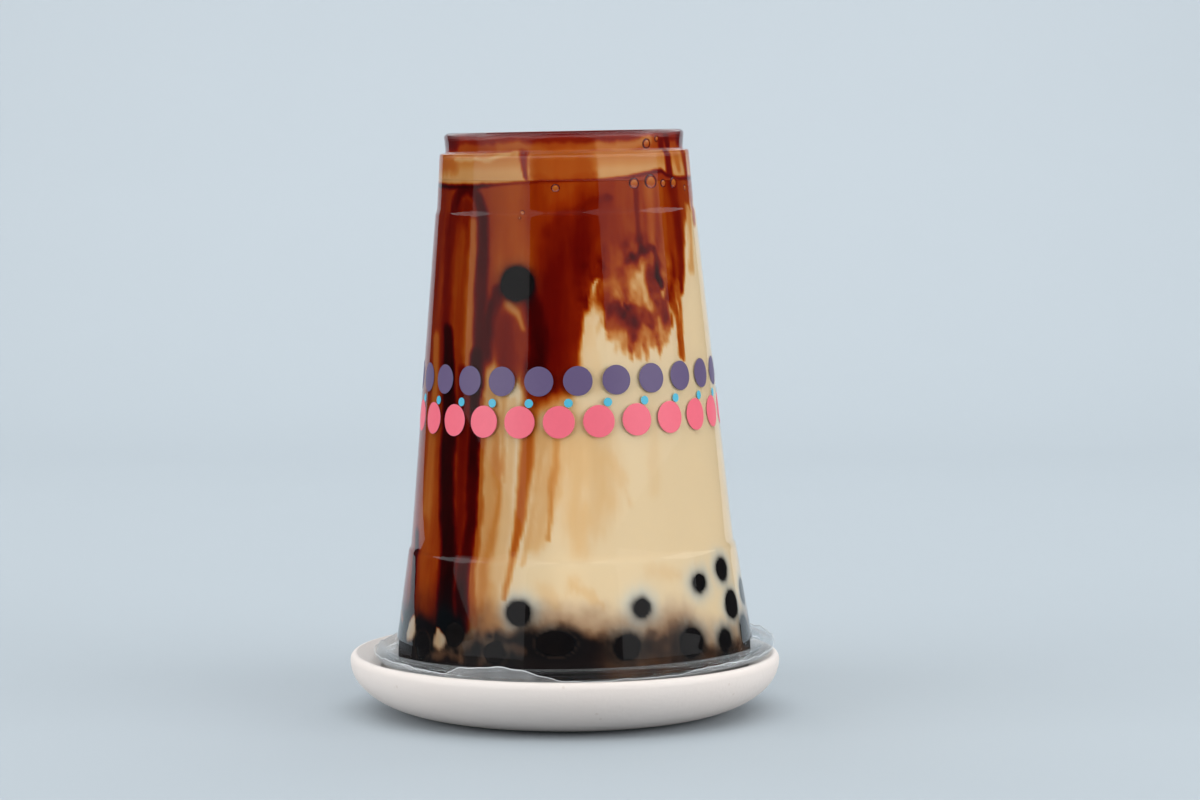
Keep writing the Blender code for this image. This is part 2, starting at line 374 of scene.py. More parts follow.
@dataclass(frozen=True)
class ClearPlastic:
    """Clear thin plastic that lets the lamps through to what is behind it."""

    name: str
    tint: Colour = (0.97, 0.98, 0.985)
    ior: float = 1.47
    roughness: float = 0.02
    ripple: float = 0.00001
    ripple_scale: float = 160.0
    rim_top: float = 0.0178
    rim_hollow: float = 0.72

    def build(self) -> bpy.types.Material:
        """Makes the material; the rolled rim is hollow, so most of it doesn't bend light."""
        tree = Tree(self.name)
        plastic = tree.add("BsdfGlass", Color=(*self.tint, 1.0), Roughness=self.roughness, IOR=self.ior)
        waves = tree.noise_at(self.ripple_scale, (1.0, 1.0, 0.35))
        tree.link(tree.bump(waves, self.ripple), plastic.inputs["Normal"])
        lamp_way = tree.add("BsdfTransparent", Color=(*self.tint, 1.0))
        place = tree.add("TexCoord")
        height = tree.add("SeparateXYZ")
        tree.link(place.outputs["Object"], height.inputs[0])
        low = tree.maths("LESS_THAN", height.outputs["Z"], self.rim_top)
        hollow = tree.add("MixShader")
        tree.link(tree.maths("MULTIPLY", low, self.rim_hollow), hollow.inputs[0])
        tree.link(plastic.outputs[0], hollow.inputs[1])
        tree.link(lamp_way.outputs[0], hollow.inputs[2])
        path = tree.add("LightPath")
        either = tree.add("MixShader")
        tree.link(path.outputs["Is Shadow Ray"], either.inputs[0])
        tree.link(hollow.outputs[0], either.inputs[1])
        tree.link(lamp_way.outputs[0], either.inputs[2])
        tree.link(either.outputs[0], tree.output.inputs["Surface"])
        return tree.material


@dataclass(frozen=True)
class ThinFilm:
    """Clear film, too thin to bend light, a little milky, and white where it was cut."""

    name: str = "clear_seal_film"
    white: Colour = (0.86, 0.88, 0.90)
    haze: float = 0.10
    edge: float = 0.62
    roughness: float = 0.22
    ripple: float = 0.0002
    ripple_scale: float = 420.0
    crease_scale: float = 300.0

    def build(self) -> bpy.types.Material:
        """Makes the material."""
        tree = Tree(self.name)
        clear = tree.add("BsdfTransparent")
        white = tree.add("BsdfPrincipled", Base_Color=(*self.white, 1.0), Roughness=self.roughness)
        ripples = tree.noise_at(self.ripple_scale, (1.0, 1.0, 0.4))
        tree.link(tree.bump(ripples, self.ripple), white.inputs["Normal"])
        cut = tree.add("Attribute", attribute_name=Paint.EDGE.value).outputs["Fac"]
        creases = tree.noise_at(self.crease_scale, (1.0, 1.0, 0.3))
        milky = tree.maths("MULTIPLY", creases, 2.0 * self.haze)
        either = tree.add("MixShader")
        tree.link(tree.maths("MULTIPLY_ADD", cut, self.edge, milky), either.inputs[0])
        tree.link(clear.outputs[0], either.inputs[1])
        tree.link(white.outputs[0], either.inputs[2])
        tree.link(either.outputs[0], tree.output.inputs["Surface"])
        return tree.material


@dataclass(frozen=True)
class Ink:
    """A printing ink, which lies on the plastic as a thin skin."""

    name: str
    colour: Colour
    roughness: float = 0.42
    thickness: float = 0.00003
    ior: float = 1.47
    wear: float = 0.93
    wear_scale: float = 900.0

    def build(self) -> bpy.types.Material:
        """Makes the material."""
        tree = Tree(self.name)
        surface = tree.add("BsdfPrincipled", Roughness=self.roughness, IOR=self.ior)
        darker = tuple(self.wear * c for c in self.colour)
        worn = tree.mix(tree.noise_at(self.wear_scale), self.colour, darker)
        tree.link(worn, surface.inputs["Base Color"])
        tree.link(surface.outputs[0], tree.output.inputs["Surface"])
        return tree.material


@dataclass(frozen=True)
class MattCeramic:
    """Unglazed warm white ceramic with faint specks and a little mottling."""

    name: str = "matt_ceramic"
    body: Colour = (0.66, 0.605, 0.57)
    blush: Colour = (0.66, 0.585, 0.54)
    speck: Colour = (0.36, 0.24, 0.17)
    roughness: float = 0.46
    speck_scale: float = 260.0
    speck_edge: float = 0.105
    speck_places: float = 120.0
    speck_from: float = 0.60
    speck_strength: float = 0.2
    mottle_scale: float = 38.0
    grain: float = 0.00006
    grain_scale: float = 900.0

    def build(self) -> bpy.types.Material:
        """Makes the material."""
        tree = Tree(self.name)
        surface = tree.add("BsdfPrincipled", Roughness=self.roughness, IOR=1.5)
        mottling = tree.mix(tree.noise_at(self.mottle_scale, detail=4.0), self.body, self.blush)
        place = tree.add("TexCoord")
        cells = tree.add("TexVoronoi", Scale=self.speck_scale)
        tree.link(place.outputs["Object"], cells.inputs["Vector"])
        near = tree.maths("LESS_THAN", cells.outputs["Distance"], self.speck_edge)
        sparse = tree.noise_at(self.speck_places, detail=0.0)
        seldom = tree.maths("GREATER_THAN", sparse, self.speck_from)
        specks = tree.maths("MULTIPLY", tree.maths("MULTIPLY", near, seldom), self.speck_strength)
        tree.link(tree.mix(specks, mottling, self.speck), surface.inputs["Base Color"])
        grain = tree.noise_at(self.grain_scale, detail=4.0)
        tree.link(tree.bump(grain, self.grain), surface.inputs["Normal"])
        tree.link(surface.outputs[0], tree.output.inputs["Surface"])
        return tree.material


@dataclass(frozen=True)
class SyrupAndMilk:
    """Milk that brown sugar syrup darkens by its depth, as coloured glass does, and pearls shade.

    A point's depth of syrup is an attribute, as a share of the deepest. stops are the depths at which the
    ramp holds the colour worked out, the deepest one last.
    """

    name: str
    milk: Colour = (0.83, 0.665, 0.435)
    absorbs: Colour = (0.25, 0.80, 1.65)
    deepest: float = 16.0
    shade: Colour = (0.0035, 0.005, 0.0065)
    shade_tint: Colour = (1.0, 0.74, 0.80)
    halo: Colour = (0.63, 0.69, 0.66)
    roughness: float = 0.5
    specular: float = 0.0
    unevenness: float = 0.34
    wisp_scale: float = 260.0
    cloud_scale: float = 90.0
    stops: tuple[float, ...] = (0.0, 0.3, 0.7, 1.2, 1.9, 2.8, 3.9, 5.2, 7.0, 9.5, 12.5, 16.0)

    def colour_at(self, depth: float) -> Colour:
        """The colour of milk under a depth of syrup."""
        return tuple(m * math.exp(-a * depth) for m, a in zip(self.milk, self.absorbs))

    def build(self) -> bpy.types.Material:
        """Makes the material."""
        tree = Tree(self.name)
        surface = tree.add("BsdfPrincipled", Roughness=self.roughness, Specular_IOR_Level=self.specular)
        syrup = tree.add("Attribute", attribute_name=Paint.SYRUP.value).outputs["Fac"]
        shade = tree.add("Attribute", attribute_name=Paint.SHADE.value).outputs["Fac"]
        wisps = tree.maths("SUBTRACT", tree.noise_at(self.wisp_scale, (1.0, 1.0, 0.16), 5.0), 0.5)
        clouds = tree.maths("SUBTRACT", tree.noise_at(self.cloud_scale, (1.0, 1.0, 0.5), 4.0), 0.5)
        uneven = tree.maths("ADD", wisps, clouds)
        change = tree.maths("MULTIPLY_ADD", uneven, 2.0 * self.unevenness, 1.0)
        uneven_syrup = tree.maths("MULTIPLY", syrup, change)
        stops = [(depth / self.deepest, self.colour_at(depth)) for depth in self.stops]
        halo = tree.add("Attribute", attribute_name=Paint.HALO.value).outputs["Fac"]
        tinted = tree.maths("MULTIPLY", shade, tree.maths("SUBTRACT", 1.0, halo))
        colour = tree.mix(tinted, tree.ramp(uneven_syrup, stops), self.shade_tint, "MULTIPLY")
        colour = tree.mix(halo, colour, self.halo)
        tree.link(tree.mix(shade, colour, self.shade), surface.inputs["Base Color"])
        tree.link(surface.outputs[0], tree.output.inputs["Surface"])
        return tree.material


@dataclass(frozen=True)
class Tapioca:
    """Near-black glossy tapioca, a little browner where it is thin."""

    name: str = "tapioca"
    dark: Colour = (0.0015, 0.0022, 0.0032)
    brown: Colour = (0.009, 0.006, 0.005)
    roughness: float = 0.22
    specular: float = 0.06
    mottle_scale: float = 210.0

    def build(self) -> bpy.types.Material:
        """Makes the material."""
        tree = Tree(self.name)
        surface = tree.add("BsdfPrincipled", Roughness=self.roughness, Specular_IOR_Level=self.specular)
        colour = tree.mix(tree.noise_at(self.mottle_scale), self.dark, self.brown)
        tree.link(colour, surface.inputs["Base Color"])
        tree.link(surface.outputs[0], tree.output.inputs["Surface"])
        return tree.material


@dataclass(frozen=True)
class Backdrop:
    """The pale blue paper of the floor and backdrop."""

    name: str = "pale_blue_paper"
    colour: Colour = (0.380, 0.418, 0.450)
    roughness: float = 0.85
    specular: float = 0.2
    fibre: float = 0.985
    fibre_scale: float = 14.0

    def build(self) -> bpy.types.Material:
        """Makes the material."""
        tree = Tree(self.name)
        surface = tree.add("BsdfPrincipled", Roughness=self.roughness, Specular_IOR_Level=self.specular)
        darker = tuple(self.fibre * c for c in self.colour)
        fibre = tree.mix(tree.noise_at(self.fibre_scale, detail=2.0), self.colour, darker)
        tree.link(fibre, surface.inputs["Base Color"])
        tree.link(surface.outputs[0], tree.output.inputs["Surface"])
        return tree.material


@dataclass
class Dish:
    """The round dish: a bowed underside, a thick rounded lip and a shallow well under the cup."""

    radius: float = 0.0513
    foot_radius: float = 0.0310
    widest_height: float = 0.0122
    crest_radius: float = 0.0499
    crest_height: float = 0.0139
    slope_radius: float = 0.0440
    slope_height: float = 0.0113
    well_radius: float = 0.0330
    well_height: float = 0.0052
    well_round: float = 0.0012
    steps: int = 160
    finish: MattCeramic = field(default_factory=MattCeramic)

    def profile(self) -> list[Point]:
        """The dish's section, from the well's middle over the lip to the foot's middle."""
        well = arc(
            (self.well_radius, self.slope_height),
            (self.slope_radius - self.well_radius, self.slope_height - self.well_height),
            -90,
            -4,
            14,
        )
        lip = arc(
            (self.crest_radius, self.widest_height),
            (self.radius - self.crest_radius, self.crest_height - self.widest_height),
            100,
            0,
            14,
        )
        under = arc(
            (self.foot_radius, self.widest_height),
            (self.radius - self.foot_radius, self.widest_height),
            0,
            -90,
            30,
        )
        inside = rounded([(0.0, self.well_height), *well, *lip[:1]], self.well_round)
        return [*inside, *lip[1:], *under[1:], (0.0, 0.0)]

    def build(self) -> bpy.types.Object:
        """Makes the dish, which stands for the frame's own dish."""
        shape = spun_mesh(self.profile(), self.steps)
        piece = finished(shape, "dish_ceramic_body", self.finish.build())
        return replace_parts(piece, "dish")


@dataclass
class Wall:
    """The cup's wall line, which the cup, the drink and the pearls share."""

    height: float = 0.1245
    thickness: float = 0.0007
    shoulder: Point = (0.0296, 0.1189)
    upper_step_in: Point = (0.0305, 0.1063)
    upper_step_out: Point = (0.0309, 0.1054)
    lower_step_in: Point = (0.0385, 0.0267)
    lower_step_out: Point = (0.0391, 0.0257)
    skirt_middle: Point = (0.0418, 0.0082)
    skirt_foot: Point = (0.0428, 0.0022)
    ring_radius: float = 0.0284
    ring_height: float = 0.0047
    ring_round: float = 0.0011
    punt_radius: float = 0.0252
    punt_floor_radius: float = 0.0234
    punt_depth: float = 0.0024
    bead_radius: float = 0.00145
    bead_centre: float = 0.0461
    plate_thickness: float = 0.0009

    def line(self) -> list[Point]:
        """Corners of the outer wall, from the shoulder down to the rim."""
        return [
            self.shoulder,
            self.upper_step_in,
            self.upper_step_out,
            self.lower_step_in,
            self.lower_step_out,
            self.skirt_middle,
            self.skirt_foot,
        ]

    def outer_radius(self, height: float) -> float:
        """Radius of the outer wall at a height above the mouth."""
        corners = [*reversed(self.line())]
        return float(np.interp(height, [c[1] for c in corners], [c[0] for c in corners]))

    def inner_radius(self, height: float) -> float:
        """Radius of the inner wall at a height above the mouth, at the side or within the foot ring."""
        if height > self.height - self.ring_height:
            return self.ring_radius - self.thickness
        return self.outer_radius(height) - self.thickness

    def inner_line(self, inset: float) -> list[Point]:
        """The inside of the cup, from its base's middle down to the mouth, inset from the inner wall."""
        gone = self.thickness + inset
        top = self.height
        base = [
            (0.0, top - self.punt_depth - gone),
            (self.punt_floor_radius + gone / 2, top - self.punt_depth - gone),
            (self.punt_radius + gone / 2, top - gone),
            (self.ring_radius - self.ring_round, top - gone),
            (self.ring_radius - gone, top - self.ring_round - gone / 2),
            (self.ring_radius - gone, top - self.ring_height - gone / 2),
        ]
        return [*base, *[(radius - gone, height) for radius, height in self.line()]]


WALL = Wall()
LEVEL = 0.1265
INTO_WALL = 0.00004


@dataclass
class Cup:
    """The clear cup: recessed base, stacking steps, flared skirt and rolled rim."""

    punt_edge: Point = (0.0003, 0.0006)
    groove: float = 0.0003
    shoulder_drop: float = 0.0001
    plate_from: float = 0.0004
    plate_edge: Point = (0.0448, 0.0010)
    corner: float = 0.00055
    inner_corner: float = 0.0009
    longest: float = 0.0025
    steps: int = 224
    finish: ClearPlastic = field(default_factory=lambda: ClearPlastic("clear_cup_plastic"))

    def outer_profile(self) -> list[Point]:
        """The outer side, from the base's middle down to the rim's bead."""
        top = WALL.height
        ring_centre = (WALL.ring_radius - WALL.ring_round, top - WALL.ring_round)
        ring = arc(ring_centre, (WALL.ring_round, WALL.ring_round), 90, 0, 8)
        base = [
            (0.0, top - WALL.punt_depth),
            (WALL.punt_floor_radius, top - WALL.punt_depth),
            (WALL.punt_radius - self.punt_edge[0], top - self.punt_edge[0]),
            (WALL.punt_radius + self.punt_edge[1], top),
        ]
        groove = (WALL.ring_radius - self.groove, top - WALL.ring_height)
        shoulder = (WALL.shoulder[0] - self.shoulder_drop, top - WALL.ring_height - self.shoulder_drop)
        plate = (WALL.skirt_foot[0] + self.plate_from, WALL.plate_thickness)
        side = rounded([ring[-1], groove, shoulder, *WALL.line(), plate, self.plate_edge], self.corner)
        bead = arc((WALL.bead_centre, WALL.bead_radius), (WALL.bead_radius, WALL.bead_radius), 198, -90, 26)
        return [*rounded([*base, ring[0]], self.corner), *ring[1:-1], *side, *bead]

    def profile(self) -> list[Point]:
        """The whole section: down the outer side and back up the inner one."""
        foot = (WALL.skirt_foot[0] - WALL.thickness, 0.0)
        inner = rounded([*WALL.inner_line(0.0), foot], self.inner_corner)
        return [*spaced(self.outer_profile(), self.longest), *reversed(spaced(inner, 2.0 * self.longest))]

    def build(self) -> bpy.types.Object:
        """Makes the cup, which stands for the frame's faceted one."""
        shape = spun_mesh(self.profile(), self.steps)
        shape.transform(STANCE.matrix())
        piece = finished(shape, "clear_cup", self.finish.build())
        low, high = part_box("cup")
        middle = (low + high) / 2
        log.info("clear_cup: the frame's cup has its middle at %.4f %.4f %.4f", *middle)
        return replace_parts(piece, "cup")


@dataclass
class DotRow:
    """A row of printed dots right round the cup: how many, the first one's azimuth, their height and size.

    steep says how steeply a dot's edge rises, and sunk how much of the ink's thickness lies in the plastic.
    """

    name: str
    ink: Ink
    height: float
    half: float
    count: int = 24
    first: float = 0.0
    steep: float = 4.0
    sunk: float = 0.3

    def build(self) -> bpy.types.Object:
        """Makes the row as one piece."""
        joined = bmesh.new()
        bmesh.ops.create_uvsphere(joined, u_segments=32, v_segments=24, radius=1.0)
        radius = WALL.outer_radius(self.height)
        thickness = self.ink.thickness
        for vert in joined.verts:
            up = self.height + vert.co.z * self.half
            turn = math.radians(self.first) + vert.co.x * self.half / radius
            out = self.sunk - max(-1.0, min(1.0, self.steep * vert.co.y))
            reach = WALL.outer_radius(up) + thickness * out
            vert.co = Vector((reach * math.sin(turn), -reach * math.cos(turn), up))
        one = [*joined.verts, *joined.edges, *joined.faces]
        for index in range(1, self.count):
            copied = bmesh.ops.duplicate(joined, geom=one)["geom"]
            verts = [item for item in copied if isinstance(item, bmesh.types.BMVert)]
            turn = Matrix.Rotation(2 * math.pi * index / self.count, 3, "Z")
            bmesh.ops.rotate(joined, verts=verts, cent=(0, 0, 0), matrix=turn)
        bmesh.ops.recalc_face_normals(joined, faces=joined.faces)
        joined.transform(STANCE.matrix())
        return finished(joined, self.name, self.ink.build())


@dataclass
class Print:
    """A generic print of dots on the cup, in three inks."""

    violet: Ink = field(default_factory=lambda: Ink("violet_ink", (0.105, 0.074, 0.155)))
    pink: Ink = field(default_factory=lambda: Ink("pink_ink", (0.72, 0.125, 0.175)))
    blue: Ink = field(default_factory=lambda: Ink("blue_ink", (0.07, 0.38, 0.52)))

    def build(self) -> None:
        """Makes every row."""
        DotRow("violet_dots", self.violet, 0.0675, 0.0034, first=4.0).build()
        DotRow("pink_dots", self.pink, 0.0582, 0.0037, first=11.5).build()
        DotRow("blue_dots", self.blue, 0.0625, 0.0010, first=0.2).build()


@dataclass
class SealFilm:
    """The clear film welded across the mouth, with a ragged wavy skirt turned up round the rim.

    edge is the skirt's height over the mouth, in millimetres, at azimuths. Each of ragged is a wave of it:
    how high, how many round the cup, and where it starts.
    """

    thickness: float = 0.00009
    clearance: float = 0.00032
    edge: tuple[Point, ...] = (
        (-180, 2.6),
        (-140, 3.4),
        (-105, 2.2),
        (-80, 1.8),
        (-54, 1.9),
        (-39, 1.1),
        (-33, 2.8),
        (-22, 3.6),
        (-14, 3.1),
        (-9, 1.6),
        (-3, 0.5),
        (3, -0.1),
        (9, 0.2),
        (20, 0.3),
        (28, 0.2),
        (36, 0.9),
        (44, 1.5),
        (59, 1.1),
        (75, 1.4),
        (110, 3.2),
        (145, 2.2),
        (180, 2.6),
    )
    ragged: tuple[tuple[float, float, float], ...] = ((0.12, 31.0, 0.0), (0.09, 53.0, 1.0))
    shortest: float = 0.0005
    flat_rows: int = 24
    skirt_rows: int = 16
    steps: int = 384
    flare: float = 0.05
    crinkle: float = 0.00016
    crinkle_scale: Point = (9.0, 300.0)
    finish: ThinFilm = field(default_factory=ThinFilm)

    def length(self, azimuth: float) -> float:
        """How far the film reaches round the bead at an azimuth in degrees, with a fine raggedness."""
        places = [place for place, _ in self.edge]
        heights = [height for _, height in self.edge]
        angle = math.radians(azimuth)
        ragged = sum(size * math.sin(waves * angle + start) for size, waves, start in self.ragged)
        height = (float(np.interp(azimuth, places, heights)) + ragged) * MM
        radius = WALL.bead_radius + self.clearance
        rise = height + self.clearance
        if rise > radius:
            return radius * math.pi / 2 + rise - radius
        return max(self.shortest, radius * math.acos(1.0 - max(rise, 0.0) / radius))

    def skirt_point(self, length: float, azimuth: float) -> Vector:
        """A point of the skirt, in the cup's frame, at a length along it from under the bead."""
        radius = WALL.bead_radius + self.clearance
        quarter = radius * math.pi / 2
        angle = min(length, quarter) / radius
        rise = max(0.0, length - quarter)
        around, along = self.crinkle_scale
        place = Vector((math.cos(azimuth), math.sin(azimuth), 1.0 + length * along)) * around
        ripple = self.crinkle * noise.noise(place) * min(1.0, length / quarter)
        out = WALL.bead_centre + (radius + ripple) * math.sin(angle) + rise * self.flare
        up = WALL.bead_radius - (radius + ripple) * math.cos(angle) + rise
        return Vector((out * math.sin(azimuth), -out * math.cos(azimuth), up))

    def build(self) -> bpy.types.Object:
        """Makes the film, which stands for the frame's plain one."""
        flat = WALL.bead_radius - (WALL.bead_radius + self.clearance)
        radii = [WALL.bead_centre * row / self.flat_rows for row in range(self.flat_rows + 1)]
        radii += [WALL.bead_centre + (row + 1) * MM for row in range(self.skirt_rows)]
        shape = turned([(radius, flat) for radius in radii], self.steps)
        edge = shape.verts.layers.float.new(Paint.EDGE.value)
        for vert in shape.verts:
            beyond = vert.co.xy.length - WALL.bead_centre
            azimuth = math.atan2(vert.co.x, -vert.co.y)
            if beyond > MERGE:
                share = beyond / (self.skirt_rows * MM)
                vert[edge] = 1.0 if share > 0.99 else 0.0
                vert.co = self.skirt_point(share * self.length(math.degrees(azimuth)), azimuth)
        bmesh.ops.recalc_face_normals(shape, faces=shape.faces)
        bmesh.ops.solidify(shape, geom=shape.faces, thickness=self.thickness)
        bmesh.ops.recalc_face_normals(shape, faces=shape.faces)
        shape.transform(STANCE.matrix())
        piece = finished(shape, "seal_film_skirted", self.finish.build())
        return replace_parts(piece, "seal_film")


@dataclass(frozen=True)
class Pearl:
    """A tapioca pearl pressed against the wall.

    Azimuth is in degrees, the rest in millimetres. patch is the half width of what shows at the wall,
    tall the patch's height over its width, and halo how far its shade reaches into the milk.
    """

    azimuth: float
    height: float
    radius: float
    patch: float
    tall: float = 1.0
    halo: float = 0.9

    def centre(self) -> Vector:
        """The pearl's centre in the cup's frame, in metres."""
        depth = math.sqrt(max(0.0, self.radius**2 - self.patch**2)) * MM
        reach = WALL.outer_radius(self.height * MM) - WALL.thickness - depth
        angle = math.radians(self.azimuth)
        return Vector((reach * math.sin(angle), -reach * math.cos(angle), self.height * MM))

    def gap(self, points: np.ndarray) -> np.ndarray:
        """How far points lie outside the pearl, in millimetres."""
        offset = (points - np.array(self.centre())) / (1.0, 1.0, self.tall)
        return np.linalg.norm(offset, axis=1) / MM - self.radius


@dataclass(frozen=True)
class Streak:
    """One streak of the marbling, which draws the syrup's depth on the wall towards its own.

    path holds azimuth in degrees and height in millimetres, half the half widths at its two ends in
    millimetres, depth the syrup's depth, soft how soft its edge is from 0 to 1, strength how much it covers,
    and ragged how many millimetres its edge wanders.
    """

    path: tuple[Point, ...]
    half: Point
    depth: float
    soft: float = 0.45
    strength: float = 1.0
    ragged: float = 0.55

    def smooth_path(self, steps: int = 5) -> list[Point]:
        """The path with a smooth curve through its points."""
        if len(self.path) < 3:
            return [*self.path]
        points = [Vector(point) for point in (self.path[0], *self.path, self.path[-1])]
        line = []
        for a, b, c, d in zip(points, points[1:], points[2:], points[3:]):
            for step in range(steps):
                t = step / steps
                square = (2 * a - 5 * b + 4 * c - d) * t**2
                cube = (3 * b - a - 3 * c + d) * t**3
                line.append(0.5 * (2 * b + (c - a) * t + square + cube))
        return [tuple(point) for point in (*line, points[-1])]

    def cover(self, places: "Places") -> np.ndarray:
        """How much the streak covers each place of the wall, from 0 to its strength."""
        line = self.smooth_path()
        margin = 2.2 * max(self.half) + 2.0 * self.ragged
        low, high = min(a for a, _ in line), max(a for a, _ in line)
        off = np.abs((places.azimuth - (low + high) / 2 + 180.0) % 360.0 - 180.0) - (high - low) / 2
        near = off * np.radians(places.radius) < margin
        near &= places.height > min(h for _, h in line) - margin
        near &= places.height < max(h for _, h in line) + margin
        azimuth, height, turn = places.azimuth[near], places.height[near], np.radians(places.radius[near])
        unevenness = self.ragged * places.rough[near]
        nearest = np.full(len(azimuth), np.inf)
        for index, ((a0, h0), (a1, h1)) in enumerate(zip(line, line[1:])):
            across = ((azimuth - a0 + 180.0) % 360.0 - 180.0) * turn
            up = height - h0
            side = (a1 - a0) * turn
            rise = h1 - h0
            share = np.clip((across * side + up * rise) / (side**2 + rise**2 + 1e-9), 0.0, 1.0)
            half = self.half[0] + (self.half[1] - self.half[0]) * (index + share) / (len(line) - 1)
            distance = np.hypot(across - share * side, up - share * rise) + unevenness
            nearest = np.minimum(nearest, distance / half)
        cover = np.zeros(len(places.azimuth))
        cover[near] = self.strength * (1.0 - smoothstep(1.0 - self.soft, 1.0 + self.soft, nearest))
        return cover


# The syrup's cloud in azimuth and height, where mottle is drawn, and the noises' scales per metre
CLOUD: Point = (31.0, 85.0)
CLOUD_REACH: Point = (26.0, 16.0)
CLOUD_FADE: Point = (0.75, 1.2)
CHURN_FADE: Point = (0.35, 1.1)
CHURN: Point = (0.35, 1.9)
BED_BELOW = 0.022
BASE_ABOVE = 0.117
BASE_RADIUS = 26.5
RISE = 1.8
SLOW = Vector((95.0, 95.0, 32.0))
QUICK = Vector((250.0, 250.0, 150.0))
FINE = Vector((520.0, 520.0, 150.0))
GRAIN = Vector((235.0, 235.0, 175.0))


@dataclass(frozen=True)
class Places:
    """Places on the wall as arrays: azimuth in degrees, height and radius in millimetres, and a roughness.

    The azimuth and height are pushed about by a slow noise, so that nothing painted by them runs straight.
    The roughness is a fine noise about 0, which makes edges wander. Mottle is a coarser one near the
    bed, in the cloud and across the base, and cloud says how far a place lies in the cloud.
    """

    points: np.ndarray
    azimuth: np.ndarray
    height: np.ndarray
    radius: np.ndarray
    rough: np.ndarray
    mottle: np.ndarray
    cloud: np.ndarray

    @classmethod
    def of(cls, points: np.ndarray, warp: float) -> "Places":
        """The places of points in the cup's frame.

        Args:
            points: The points, in metres.
            warp: How far the slow noise pushes, in millimetres.

        Returns:
            Their places.
        """
        radius = np.hypot(points[:, 0], points[:, 1]) / MM
        azimuth = np.degrees(np.arctan2(points[:, 0], -points[:, 1]))
        height = points[:, 2] / MM
        push = wander(points, SLOW)
        curl = wander(points, QUICK) + 0.5 * wander(points, 2.3 * QUICK)
        from_cloud = np.hypot((azimuth - CLOUD[0]) / CLOUD_REACH[0], (height - CLOUD[1]) / CLOUD_REACH[1])
        churn = CHURN[0] + CHURN[1] * (1.0 - smoothstep(*CHURN_FADE, from_cloud))
        push = push * warp + curl * (churn * min(warp, 1.0))[:, None]
        rough = np.array([noise.fractal(Vector(point) * FINE, 0.8, 2.0, 4) for point in points])
        mottle = np.zeros(len(points))
        across_base = (points[:, 2] > BASE_ABOVE) & (radius < BASE_RADIUS)
        mottled = (from_cloud < CLOUD_FADE[1]) | (points[:, 2] < BED_BELOW) | across_base
        for index in np.flatnonzero(mottled):
            mottle[index] = noise.fractal(Vector(points[index]) * GRAIN, 0.9, 2.1, 4)
        cloud = 1.0 - smoothstep(*CLOUD_FADE, from_cloud)
        azimuth = azimuth + np.degrees(push[:, 0] / np.maximum(radius, 1.0))
        return cls(points, azimuth, height + RISE * push[:, 1], radius, rough, mottle, cloud)


